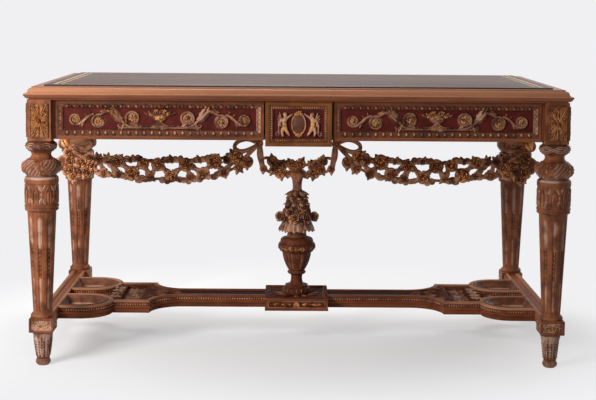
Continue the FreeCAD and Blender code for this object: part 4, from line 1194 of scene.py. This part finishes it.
def petal_ring(count, turn, spread, inner, outer, low, high, curl, gilding, wax):
    """Cupped petals standing round the heart of a rose, gilded at their tips."""
    def share(x, y):
        return min(max((math.hypot(x, y) - inner) / (outer - inner), 0), 1)

    parts = []
    for index in range(count):
        middle = math.tau * (index + turn) / count

        def rule(u, v):
            t = (v + 1) / 2
            reach = inner + (outer - inner) * t ** 0.7 + curl * max(0, t - 0.6) * 2
            angle = middle + u * math.radians(spread) * (1 - 0.24 * t * t)
            rise = low + (high - low) * t ** 1.4 - curl * max(0, t - 0.6) - 1.2 * u * u * t
            return reach * math.cos(angle), reach * math.sin(angle), rise
        parts.append(paint(thickened(grid(3, 3, rule), 1.5), wax=wax,
                           gilt=lambda x, y, z: gilding * max(0, share(x, y) - 0.5) * 2,
                           deep=lambda x, y, z: 0.75 * max(0, 1 - share(x, y) / 0.45)))
    return parts


def rose_pattern(gilding):
    """A rose that looks along Z."""
    heart = paint(dome(13, 13, 14), gilt=above(10, gilding), wax=0.2)
    petals = petal_ring(3, 0, 54, 3, 8, 3, 15, 1.5, gilding, 0.2)
    petals += petal_ring(5, 0.3, 36, 5, 13.5, 0, 12, 3, gilding, 0.35)
    petals += petal_ring(5, 0.1, 36, 7, 19.5, -2, 6, 4, gilding * 0.5, 0.75)
    return joined(petals + [heart])


def garland_leaf():
    """A leaf that widens to its tip, waxed on one side of the midrib."""
    flat = leaf(LEAF_LONG, 20, 4.5, 6, rows=6, blunt=0.6)
    shape(flat, lambda x, y, z: (x * (0.85 + 0.3 * y / LEAF_LONG), y, z))
    return paint(thickened(flat, 2.2), wax=lambda x, y, z: 1.0 if x > 1 else 0.6,
                 gilt=lambda x, y, z: 0.25 if y > 26 else 0.0,
                 deep=lambda x, y, z: 0.5 if y < 8 or abs(x) < 1 else (0.0 if x > 0 else 0.2))


def ribbon(side, points, wide, thick, wax=0.5):
    """A carved ribbon along points (x, depth, z), flattened in depth."""
    band = strand([(side * x, z, y / thick) for x, y, z in points], wide, 2, thick)
    return paint(shape(band, lambda x, y, z: (x, -z, y)), wax=wax)


roses = [rose_pattern(gilding) for gilding in (0.1, 0.5, 0.85)]
rose_leaf = garland_leaf()


def flower_at(x, z, size, gilding):
    """A rose in the garland's plane, one half to the front and one to the back."""
    parts = []
    for way in (-1, 1):
        turn = Matrix.Rotation(chance.uniform(0, math.tau), 4, "Z")
        out = (chance.uniform(-0.2, 0.2), way, chance.uniform(-0.2, 0.2))
        parts += stamped(roses[gilding], spot((x, way * 2, z), out, UP, size / ROSE_RADIUS) @ turn)
    return parts


def leaf_at(x, z, turn, size, depth=0.0):
    """A leaf in the garland's plane; turn is from straight up, towards +X."""
    angle = math.radians(turn)
    out = (chance.uniform(-0.35, 0.35), -1 if depth <= 0 else 1, chance.uniform(-0.3, 0.3))
    return stamped(rose_leaf, spot((x, depth, z), out, (math.sin(angle), 0, math.cos(angle)), size))


def spray(side, flowers):
    """Flowers (x, z, radius, gilding) with leaves that grow out from under them, at turns from upright."""
    parts = []
    for x, z, size, gilding, turns in flowers:
        parts += flower_at(side * x, z, size * chance.uniform(1.0, 1.12), gilding)
        for turn in turns:
            angle = math.radians(turn)
            parts += leaf_at(side * (x + 0.4 * size * math.sin(angle)), z + 0.4 * size * math.cos(angle),
                             side * turn, (0.62 * size + 11) / LEAF_LONG, chance.choice((-4, 4)))
    return parts


def slanting_leaves(side, lines):
    """Leaves that grow from two flowers, at (x, z) and (x, z), towards each other, front and back."""
    parts = []
    for ax, az, bx, bz in lines:
        long = math.hypot(bx - ax, bz - az)
        for x, z, run, climb in ((ax, az, bx - ax, bz - az), (bx, bz, ax - bx, az - bz)):
            for way in (-1, 1):
                out = (chance.uniform(-0.3, 0.3), way, chance.uniform(-0.3, 0.3))
                size = (chance.uniform(0.8, 1.1), 0.64 * long / LEAF_LONG, 0.8)
                place = spot((side * x, way * 1.5, z), out, (side * run, 0, climb), size)
                parts += stamped(rose_leaf, place)
    return parts


def vines(side, *lines):
    """Waxed twigs through points (x, z) of the garland's plane."""
    return [ribbon(side, [(x, 3.5 * math.sin(index * 1.9), z) for index, (x, z) in enumerate(line)],
                   4.4, 0.8, 0.35) for line in lines]


def make_swag(hand, side):
    """An upper and a lower row of roses on two twigs, with slanting leaves and open places between."""
    parts = vines(
        side,
        [(626, 548), (600, 549), (553, 548), (514, 551), (475, 548), (429, 540), (386, 551), (343, 541),
         (300, 551), (257, 548), (222, 560), (190, 566), (150, 580)],
        [(626, 510), (596, 505), (550, 503), (509, 501), (480, 493), (455, 490), (425, 490), (389, 494),
         (360, 490), (329, 491), (290, 500), (255, 499), (226, 508), (190, 528), (150, 546)])
    parts += slanting_leaves(side, (
        (553, 546, 509, 512), (475, 540, 509, 508), (455, 497, 475, 540), (429, 540, 455, 494),
        (389, 501, 429, 538), (343, 540, 389, 500), (329, 497, 345, 538), (290, 508, 338, 538),
        (257, 546, 292, 508), (226, 510, 192, 558), (612, 550, 594, 508), (550, 504, 586, 546),
        (553, 548, 514, 553), (429, 540, 388, 554), (343, 540, 386, 554), (300, 552, 343, 542),
        (257, 548, 298, 553), (475, 545, 514, 554), (509, 500, 468, 490), (389, 496, 424, 486),
        (389, 496, 352, 486), (290, 502, 322, 488), (290, 502, 246, 496), (509, 500, 548, 500),
        (257, 546, 226, 512), (226, 512, 258, 500), (190, 560, 222, 566), (596, 506, 552, 500),
        (514, 551, 482, 556), (386, 551, 420, 550), (386, 552, 352, 553), (300, 551, 268, 558),
        (455, 490, 500, 486), (425, 489, 392, 482), (360, 489, 326, 482), (329, 490, 292, 488),
        (600, 549, 562, 554), (622, 512, 590, 498)))
    parts += spray(side, (
        (553, 546, 17, 1, (-35, 60)), (475, 537, 16, 2, (-60, 20)), (429, 535, 18.5, 1, (-45, 60)),
        (343, 535, 19, 1, (-50, 45)), (257, 546, 20, 2, (-90, -35, 60)), (190, 561, 20, 2, (-55, 40, 150)),
        (156, 545, 17, 1, (100, 190)), (509, 507, 19, 2, (130, 230)), (455, 496, 12, 0, (130, 230)),
        (389, 500, 17, 2, (125, 235)), (329, 496, 12, 0, (120, 240)), (290, 508, 18, 1, (130, 225)),
        (226, 512, 14, 0, (80, 200, 320)), (182, 528, 14, 1, (170, 215)), (584, 548, 13, 0, (-5, 35)),
        (596, 508, 14, 1, (120, 250)), (550, 504, 11, 0, (100, 260)), (216, 552, 13, 0, (-20,)),
        (386, 549, 9, 0, (30,)), (514, 549, 9, 0, (-30,)), (300, 549, 9, 0, (35,))))
    clad("garland_swag_carving_" + hand, joined(parts), garland_walnut, "carved_walnut",
         "garland_swag_" + hand)


def gilded_bud(middle, level):
    """A closed bud with slanting creases, in the garland's plane."""
    line = [(15 * math.sin(math.pi * t / 12), level - 16 * math.cos(math.pi * t / 12)) for t in range(13)]

    def crease(x, y, z):
        return (0.5 - 0.5 * math.cos(5 * (math.atan2(y, x) + 0.05 * z))) ** 4
    bud = paint(turned(line, 40), gilt=lambda x, y, z: 3 * (1 - crease(x, y, z)),
                deep=lambda x, y, z: 0.7 * crease(x, y, z))
    shape(bud, lambda x, y, z: pinched(1 - 0.16 * crease(x, y, z), x, y, z))
    bud.data.transform(at(middle, 0))
    return bud


def make_end(hand, side):
    """Bow, gilded bud and hanging flowers at the side of the desk."""
    parts = [ribbon(side, points, wide, 0.6) for points, wide in (
        ([(700, 0, 600), (682, -6, 610), (652, -8, 612), (630, -4, 600), (640, 2, 586), (668, 6, 584),
          (700, 0, 596)], 8),
        ([(702, 0, 598), (690, 8, 576), (664, 10, 560), (646, 4, 548)], 7),
        ([(706, 0, 602), (722, -4, 612), (732, -4, 600), (724, 0, 584), (708, 0, 590)], 7))]
    parts += spray(side, (
        (700, 568, 18, 1, (70, 290)), (672, 566, 17, 0, (-20, 30)), (722, 546, 14, 0, (80,)),
        (700, 546, 17, 1, ()), (664, 542, 19, 1, (250,)), (637, 530, 18, 2, (-60, 240)),
        (614, 548, 15, 0, (-30, 8, 40)), (702, 518, 19, 1, (100,)), (676, 516, 18, 0, (200,)),
        (648, 510, 15, 1, (150, 230)), (690, 498, 15, 1, (130, 180)), (718, 526, 13, 0, (95,)),
        (640, 556, 13, 0, (-40,)), (690, 584, 12, 1, (30,))))
    parts.append(gilded_bud(side * 713, 600))
    clad("garland_end_carving_" + hand, joined(parts), garland_walnut, "carved_walnut",
         "garland_end_" + hand)


def make_centre_swag():
    """Ribbon straps with bows, and the three flower heads of the short swag over the stem."""
    parts = []
    for side in (-1, 1):
        parts += [ribbon(side, points, wide, 0.55) for points, wide in (
            ([(122, -3, 622), (120, -4, 604), (114, 4, 582), (112, 5, 558), (109, 1, 536), (104, -2, 514)],
             8.5),
            ([(116, 4, 622), (112, 5, 604), (119, -3, 582), (118, -5, 560), (110, 0, 540), (99, 4, 522)], 7),
            ([(120, 0, 602), (140, -6, 612), (164, -8, 615), (190, -4, 604), (196, 2, 588), (178, 5, 577),
              (150, 4, 582), (122, 0, 598)], 6.5),
            ([(120, 0, 600), (136, 6, 584), (154, 8, 566), (166, 4, 554)], 6.5),
            ([(112, 2, 554), (94, 4, 561), (76, 4, 554), (56, 2, 544), (32, 0, 537), (0, 0, 532)], 4.8),
            ([(106, 2, 526), (92, 4, 517), (76, 4, 511), (52, 4, 506), (28, 0, 503), (0, 0, 506)], 4.6))]
        parts += spray(side, (
            (119, 602, 12, 1, ()), (77, 548, 14, 1, (10,)), (58, 536, 15, 0, (-50,)),
            (52, 512, 16, 2, (190,)), (72, 522, 13, 1, (145,)), (44, 533, 11, 1, (-35,)),
            (38, 511, 9, 0, (205,)), (104, 524, 10, 0, (175,))))
    parts += spray(1, ((-17, 538, 14, 1, (-35,)), (9, 540, 14, 2, (30,)), (-4, 526, 13, 1, ()),
                       (-20, 511, 11, 1, (215,)), (15, 510, 11, 0, (140,))))
    stem = turned([(14.5, 478), (15, 484), (18, 494), (26, 508), (22, 514), (0, 516)])

    def ruffled(x, y, z):
        wave = 0.5 + 0.5 * math.cos(8 * math.atan2(y, x))
        return pinched(1 - 0.12 * wave * min(max((z - 484) / 10, 0), 1), x, y, z)
    parts.append(paint(shape(stem, ruffled), wax=0.35, gilt=above(500, 0.3)))
    clad("garland_centre_carving", joined(parts), garland_walnut, "carved_walnut", "garland_centre")


def make_bouquet():
    """Rings of leaves and roses about a core that stands in the urn and ends in a fluted stem."""
    core = turned([
        (0, 314), (31, 314), (29, 326), (32, 340), (40, 366), (42, 384), (30, 404), (28, 424), (26, 446),
        (18, 456), (14.5, 462), (14.5, 499), (0, 499)])

    def flutes(x, y, z):
        wave = 0.5 + 0.5 * math.cos(12 * math.atan2(y, x))
        return pinched(1 if z < 460 else 1 - 0.1 * wave, x, y, z)
    parts = [paint(shape(core, flutes), wax=above(456, 0.55, 0.1),
                   deep=lambda x, y, z: 0.7 if 336 < z < 452 else 0.0)]
    for count, radius, level, turn, size, lean in (
            (11, 40, 362, 0, 1.0, 0.3), (11, 37, 364, 0.5, 1.05, 0.4), (9, 17, 455, 0.6, 0.72, 1.3),
            (9, 17, 446, 0.1, 0.72, 1.0), (9, 22, 424, 0.4, 0.7, 1.2)):
        for index in range(count):
            out = ray(360 * (index + turn) / count)
            slope = lean + chance.uniform(-0.12, 0.12)
            parts += stamped(rose_leaf, spot(out * radius + lift(level), out + lift(slope),
                                             out * slope + lift(-1), (size * 1.35, size, size)))
    for x in (-53, 53):
        parts += flower_at(x, 377, 13, 0) + leaf_at(x * 0.8, 372, math.copysign(110, x), 0.7)
    for count, radius, level, turn, size in (
            (6, 41, 374, 0.25, 15), (7, 36, 392, 0.5, 13), (7, 31, 408, 0, 12), (6, 27, 422, 0.4, 13),
            (6, 23, 438, 0.1, 13)):
        for index in range(count):
            out = ray(360 * (index + turn) / count, 0.3)
            kind = roses[chance.choice((0, 0, 1, 1))]
            middle = (out.x * radius, out.y * radius, level)
            parts += stamped(kind, spot(middle, out, UP, size / ROSE_RADIUS))
    clad("bouquet_carving", joined(parts), carved, "carved_walnut", "bouquet")


def make_urn():
    """Footed urn with sunk panels and a scrolled collar."""
    line = drawn(
        (0, 139), (41, 139), (41, 148), (36, 157, -2.5, 5), (35, 158), (35, 164), (18, 176, 5, 7), (17, 186),
        (18, 196), (24, 198), (24, 209, -4.5, 6), (23, 210), (26, 212), (45, 268, -3.5, 14), (46, 268.5),
        (51, 270), (56.5, 291, -1.6, 8), (55.5, 293.5), (51.5, 294), (51, 297), (36, 312, -6, 8), (31, 314),
        (30, 319), (0, 319))

    panel_low, panel_high = 213, 267

    def from_panel(x, y):
        return abs(nearest(polar(x, y)[1] + 90, 60))

    def panels(x, y, z):
        edge = min((z - panel_low) / 6, (panel_high - z) / 6, 1)
        inside = panel_low < z < panel_high and from_panel(x, y) < 23
        return pinched(1 - 0.075 * edge if inside else 1, x, y, z)

    def ribs(x, y, z):
        if panel_low - 1 < z < panel_high + 1 and 19 < from_panel(x, y) < 26:
            return 0.6
        return 0.25 if 198 < z < 212 or 291 < z < 298 else 0.0
    parts = [paint(shape(turned(line, 64), panels), wax=ribs,
                   deep=lambda x, y, z: 0.6 if z > 314 or 292 < z < 296 else (0.3 if z < 212 else 0.0))]
    curl = paint(volute(7.4, 1.2, 2.4, 200, -1), gilt=0.4)
    sprig = paint(leaf(16, 7, 2.4, 1.0, columns=2, rows=4), gilt=0.4)
    foot = paint(leaf(13, 9, 2.6, 1.5, rows=4), wax=0.6)
    for degrees in range(0, 360, 36):
        parts.append(bent(curl, degrees, 55.4, 282))
        for turn, beyond in ((68, 20), (-68, 16), (20, 18)):
            parts.append(bent(hung(sprig, turn_about(turn)), degrees + beyond, 55.2, 277))
    parts += [bent(foot, 22.5 * index, 39.5, 143) for index in range(16)]
    clad("urn_carving", joined(parts), carved_dark, "carved_walnut", "urn")


for hand, side in (("left", -1), ("right", 1)):
    make_swag(hand, side)
    make_end(hand, side)
make_centre_swag()
make_bouquet()
make_urn()


# Stretcher, drawn in plan; the right half is modelled and turned round for the left

RING_X, RING_Y, RING_REACH = 640, 121.5, 83.5
RAIL_IN, RAIL_OUT, RAIL_HALF = 704, 744, 304
BEAD_LEVEL, BEAD_STEP = 127, 7.4

# Profiles of mouldings: (out to the left of the path, height)
EDGE = [(-2, 101), (2, 101), (3.6, 103.5), (3.4, 107), (1, 110), (1, 112.5), (3.6, 114), (4.6, 117.5),
        (3.8, 121.5), (1.2, 123.5), (1.2, 130.5), (3.8, 131.5), (4.2, 135.5), (3, 138.5), (0, 139), (-8, 139),
        (-10, 137.5), (-10.5, 134.5)]
FILLET = [(0.2, 133), (0.6, 137), (0, 139), (-6, 139), (-8, 137), (-8.5, 134.5)]
# Profile of a ring's inside: (share of the way from the opening to the crest, height)
BOWL = [(1.88, 101.3), (0.02, 101.3), (-0.05, 102), (-0.05, 106), (0, 107.5), (0, 119), (-0.06, 120),
        (-0.08, 122), (-0.02, 123.6), (0.06, 124), (0.1, 125.6), (0.3, 127.6), (0.5, 130.6), (0.64, 133.6),
        (0.68, 135), (0.78, 135.4), (0.8, 137.4), (0.86, 138.8), (0.94, 139), (1.1, 139), (1.2, 137.6),
        (1.24, 134.8), (1.47, 134.8)]


def sideways(path):
    """For each point of a path in plan, the direction to its left, lengthened at corners."""
    runs = [Vector((bx - ax, by - ay)) for (ax, ay), (bx, by) in zip(path, path[1:])]
    lefts = [[Vector((-run.y, run.x)).normalized()] if run.length > 0.01 else [] for run in runs]
    found = []
    for before, after in zip([[]] + lefts, lefts + [[]]):
        middle = sum(before + after, Vector((0, 0))).normalized()
        found.append(middle / max(middle.dot((before + after)[0]), 0.3))
    return found


def pick(items, share):
    """The item that lies a share of the way along, from -1 to 1."""
    return items[round((share + 1) / 2 * (len(items) - 1))]


def swept(profile, starts, ends):
    """A profile (share of the way from a start to its end, height) run along two paths in plan."""
    course = list(zip(starts, ends))

    def rule(u, v):
        (share, z), ((ax, ay), (bx, by)) = pick(profile, u), pick(course, v)
        return ax + (bx - ax) * share, ay + (by - ay) * share, z
    return grid(len(profile) - 1, len(course) - 1, rule)


def moulding(path, profile):
    """A moulding run along a path in plan."""
    ends = [(x + left.x, y + left.y) for (x, y), left in zip(path, sideways(path))]
    return swept(profile, path, ends)


def bead_line(source, path):
    """Beads at an even pitch along a path, looking to its left."""
    left = sideways(path)
    places, carried = [], BEAD_STEP / 2
    for index in range(len(path) - 1):
        start, end = Vector(path[index]), Vector(path[index + 1])
        run = (end - start).length
        while carried < run:
            share = carried / run
            side = left[index].lerp(left[index + 1], share).normalized()
            here = start.lerp(end, share) + side * 1.2
            places.append(spot((here.x, here.y, BEAD_LEVEL), (side.x, side.y, 0)))
            carried += BEAD_STEP
        carried -= run
    return stamped(source, *places)


def round_about(x, y, radius, start, end, count):
    """Points of an arc in plan."""
    angles = [math.radians(start + (end - start) * t / count) for t in range(count + 1)]
    return [(x + radius * math.cos(angle), y + radius * math.sin(angle)) for angle in angles]


def ring_bowl(y):
    """The splayed inside of a ring, its lower wall painted pale as a painted highlight."""
    opening, crest = [
        [(heel, y - radius), (heel, y + radius), *round_about(RING_X, y, radius, 90, 270, 24),
         (heel, y - radius)] for heel, radius in ((690, 46.5), (702, 65.5))]
    return paint(swept(BOWL, opening, crest), wax=below(119.5, 0.9, 0.2))


def stretcher_half():
    """Mouldings, bead rows, leaves, flared leaves and ring insides of the right half."""
    bead = paint(dome(5.4, 8.0, 3.6, 6, 4), wax=above(1.6, 0.75), deep=below(1, 0.8))
    back = [(96, 42), (200, 42), *round_about(349.7, 139, 97, -90, -7.1, 10), (446.5, 127), (500, 127),
            (560, 127)]
    paths = [back, [(x, -y) for x, y in reversed(back)]]
    for y in (-RING_Y, RING_Y):
        low, high = y - RING_REACH, y + RING_REACH
        outer = [(RAIL_IN, low), (672, low), *round_about(RING_X, y, RING_REACH, 270, 90, 28)]
        paths.append([(max(x, 557), row) for x, row in outer] + [(672, high), (RAIL_IN, high)])
    runs = [moulding(path, EDGE)
            for path in paths + [[(RAIL_OUT, RAIL_HALF), (RAIL_OUT, 0), (RAIL_OUT, -RAIL_HALF)]]]
    runs.append(moulding([(RAIL_IN, -RAIL_HALF), (RAIL_IN, 0), (RAIL_IN, RAIL_HALF)], FILLET))
    beads = []
    for path in paths + [[(RAIL_OUT, RAIL_HALF), (RAIL_OUT, -RAIL_HALF)]]:
        beads += bead_line(bead, path)
    walls = [ring_bowl(y) for y in (-RING_Y, RING_Y)]
    blade = paint(leaf(42, 19, 6, 5, 4, 4, 10), wax=lambda x, y, z: 0.6 if abs(x) > 3 else 0.15,
                  gilt=above(6, 0.4), deep=below(1.5, 0.5))
    pale = paint(leaf(32, 18, 6, 3, rows=6), wax=above(2, 1.0, 0.5))
    leaves = laid(blade, 122, [
        *[(503, way * (14 + 27 * step), 90 - way * 90 + lean, 0.95)
          for way in (-1, 1) for step in range(3) for lean in (-52, 0, 52)],
        *[(RING_X + way * 14, 0, way * -90 + lean, 0.9) for way in (-1, 1) for lean in (-40, 0, 40)],
        (582, 0, 90, 0.7), (690, 0, -90, 0.6)])
    leaves += laid(pale, 125, [(x, 0, 45 * turn, 0.5) for x in (503, RING_X) for turn in range(8)])
    leaves += laid(pale, 134.6, [(552, y, 60 * turn + y, 0.62)
                                 for y in (-58, -20, 20, 58) for turn in range(6)])
    flares = laid(blade, 133.4, [
        *[(352, 0, -90 + lean, 1.1) for lean in (-26, 0, 26)],
        *[(396, way * 22, -90 - way * lean, 1.15) for way in (-1, 1) for lean in (-24, 6, 36)],
        *[(428, way * 62, -90 - way * lean, 0.85) for way in (-1, 1) for lean in (-40, -8, 24)]])
    return [joined(things) for things in (runs, beads, leaves, flares, walls)]


def make_stretcher():
    edges, beads, leaves, flares, walls = stretcher_half()
    for runs in (edges, walls):
        alone(runs)
        bpy.ops.object.shade_smooth_by_angle(angle=math.radians(CRISP))
    for hand, turn in (("right", 0), ("left", math.pi)):
        place = Matrix.Rotation(turn, 4, "Z")
        clad("stretcher_mouldings_" + hand, hung(edges, place), walnut_low, "walnut")
        for pattern, kind, finish in ((beads, "beads", carved), (leaves, "leaves", carved),
                                      (flares, "flares", carved_dark)):
            clad("stretcher_%s_%s" % (kind, hand), hung(pattern, place), finish, "carved_walnut")
        clad("stretcher_bowls_" + hand, hung(walls, place), carved, "carved_walnut",
             "stretcher_ring_%s_front" % hand, "stretcher_ring_%s_back" % hand)


def make_plinth():
    """The square block under the urn: moulded base and rim, sunk top, carved panels front and back."""
    block = stepped(around(95, 95, [
        (0.5, 101), (-1.5, 101.6), (-1.5, 106), (0, 107.5), (0, 133), (-1.5, 134.5), (-2, 138), (-1, 139.6),
        (0, 140), (9, 140), (10, 138.6), (13, 138.2), (14.5, 136), (18, 135.6)]))
    sunk(block, lambda face: abs(face.normal.y) > 0.9 and face.area > 0.003, (3.5, -2.5))
    # The sunk top takes the darker walnut, a painted shade
    for face in block.data.polygons:
        if face.normal.z > 0.6 and face.center.z > 134 * MM:
            face.material_index = 1
    clad("plinth_block", block, [walnut_low, walnut_sunk_painted_shade], "walnut", "plinth")
    tongue = paint(leaf(32, 12, 3.4, 0.4, rows=6), gilt=above(1, 0.6, 0.2))
    fan = paint(palmette(23, 34), gilt=above(1, 0.8, 0.2))
    ground = paint(leaf(40, 18, 4, 3, 3), wax=lambda x, y, z: 0.6 if abs(x) > 3 else 0.2,
                   deep=below(1.5, 0.5))
    tray = paint(stepped(around(86, 10.2, [(0, 0), (0, 2.2), (1.8, 2.2), (1.8, 0.4)])),
                 wax=above(1.4, 0.85), deep=below(1, 0.5))
    parts = []
    for way in (-1, 1):
        out, along = (0, way, 0), Vector((-way, 0, 0))
        face = Vector((0, way * 92.6, 120.3))
        parts += stamped(tray, spot(face - Vector((0, way * 0.2, 0)), out))
        parts += stamped(tongue, *[spot(face + along * side * reach, out, along * side)
                                   for side in (-1, 1) for reach in (18, 48)])
        parts += stamped(fan, spot(face + lift(-11), out))
    parts += laid(ground, 135.8, [(0, 0, 30 * index, 1, 36) for index in range(12)])
    clad("plinth_carving", joined(parts), carved_dark, "carved_walnut")


make_stretcher()
make_plinth()

# What was only there to be copied goes
for thing in list(bpy.data.objects):
    if thing.type == "MESH" and thing.name not in given and thing not in pieces:
        bpy.data.objects.remove(thing)


# Camera, floor and light

PICTURE_WIDTH, PICTURE_HEIGHT = 596, 400
FOCAL, AXIS_ROW = 1309.2, 120
SENSOR = 36
CAMERA_PLACE = (-32.2, -4008.3, 1026.1)
YAW, PITCH, ROLL = 0.472, 4.999, 0.438
PALE = (0.872, 0.872, 0.890, 1)


def make_camera():
    """The camera, its axis kept above the middle of the picture by the shift."""
    yaw, pitch, roll = [math.radians(angle) for angle in (YAW, PITCH, ROLL)]
    ahead = Vector((math.sin(yaw) * math.cos(pitch), math.cos(yaw) * math.cos(pitch), -math.sin(pitch)))
    right = Vector((math.cos(yaw), -math.sin(yaw), 0))
    up = right.cross(ahead)
    level = right * math.cos(roll) + up * math.sin(roll)
    upright = up * math.cos(roll) - right * math.sin(roll)
    bpy.ops.object.camera_add()
    camera = bpy.context.object
    camera.matrix_world = at(*CAMERA_PLACE) @ Matrix((level, upright, -ahead)).transposed().to_4x4()
    camera.data.sensor_width = SENSOR
    camera.data.lens = SENSOR * FOCAL / PICTURE_WIDTH
    camera.data.shift_y = (AXIS_ROW - PICTURE_HEIGHT / 2) / PICTURE_WIDTH
    bpy.context.scene.camera = camera


def shown_to_eye(start):
    """1 for what the eye sees, straight, mirrored or through glass, and 0 for what lights the desk."""
    rays = start.node("LightPath")
    seen = rays.math("MAXIMUM", rays, rays.other("Is Glossy Ray"))
    return seen.math("MAXIMUM", seen, rays.other("Is Transmission Ray"))


def make_floor():
    """A pale floor that keeps the shadow near the desk and fades into the backdrop further off."""
    deselect()
    bpy.ops.mesh.primitive_plane_add(size=400)
    floor = bpy.context.object
    floor.name = "floor"
    material, place, shader = new_finish("pale_floor")
    tree = place.tree
    tree.nodes.remove(shader)
    oval = place.node("Mapping", {}, {0: place, 1: (0.03, -0.2, 0), 3: (0.9, 1.1, 1)})
    far = place.node("VectorMath", {"operation": "LENGTH"}, {0: oval}, "Value").step(0.55, 1.2)
    matt = place.node("BsdfDiffuse", {}, {"Color": (0.95, 0.95, 0.955, 1)})
    glow = place.node("Emission", {}, {"Color": far.blend((0.97, 0.97, 0.975, 1), PALE), "Strength": 1.0})
    mixed = place.node("MixShader", {}, {0: shown_to_eye(place) * (0.42 + far * 0.58), 1: matt, 2: glow})
    tree.links.new(mixed.socket, tree.nodes["Material Output"].inputs["Surface"])
    floor.data.materials.append(material)


def make_light():
    scene = bpy.context.scene
    scene.world = scene.world or bpy.data.worlds.new("studio")
    scene.world.use_nodes = True
    tree = scene.world.node_tree
    start = Wire(tree)
    lit = start.node("Background", {}, {"Color": (0.97, 0.98, 1.0, 1), "Strength": 0.1})
    shown = start.node("Background", {}, {"Color": PALE, "Strength": 1.0})
    mixed = start.node("MixShader", {}, {0: shown_to_eye(start), 1: lit, 2: shown})
    tree.nodes.remove(tree.nodes["Background"])
    tree.links.new(mixed.socket, tree.nodes["World Output"].inputs["Surface"])
    for name, where, aim, size, power, spread in (
            ("key", (-2.0, -2.1, 1.5), (-0.9, 0, 0.5), 1.0, 45, 130),
            ("overhead", (-0.25, 1.05, 3.1), (0, 0, 0.3), 1.4, 66, 180),
            ("back", (2.4, 2.6, 1.7), (0.2, 0, 0.4), 1.6, 22, 180)):
        lamp = bpy.data.lights.new(name, "AREA")
        lamp.spread = math.radians(spread)
        lamp.size = size
        lamp.energy = power
        holder = bpy.data.objects.new(name, lamp)
        scene.collection.objects.link(holder)
        holder.location = where
        holder.rotation_mode = "QUATERNION"
        holder.rotation_quaternion = (Vector(aim) - Vector(where)).to_track_quat("-Z", "Y")
    scene.view_settings.view_transform = "Standard"


make_camera()
make_floor()
make_light()


# Solids that show as they are

INSIDE = ("runners", "glue", "divider", "front_", "garland_rail")
OUTSIDE = {"leg": walnut_upright, "stretcher": walnut_low, "stretcher_bar": walnut_hollow_painted_shade,
           "stretcher_rail": rail_walnut}


def solid_finish(name):
    """Oak for the inside; otherwise the finish of the longest start that fits the name."""
    if name.startswith(INSIDE) or name.startswith("drawer_") and not name.endswith(("_front", "_carving")):
        return lining
    starts = [start for start in OUTSIDE if name.startswith(start)]
    return OUTSIDE[starts[-1]] if starts else walnut


for name, node in frame["nodes"].items():
    node.data.materials.clear()
    node.data.materials.append(solid_finish(name))
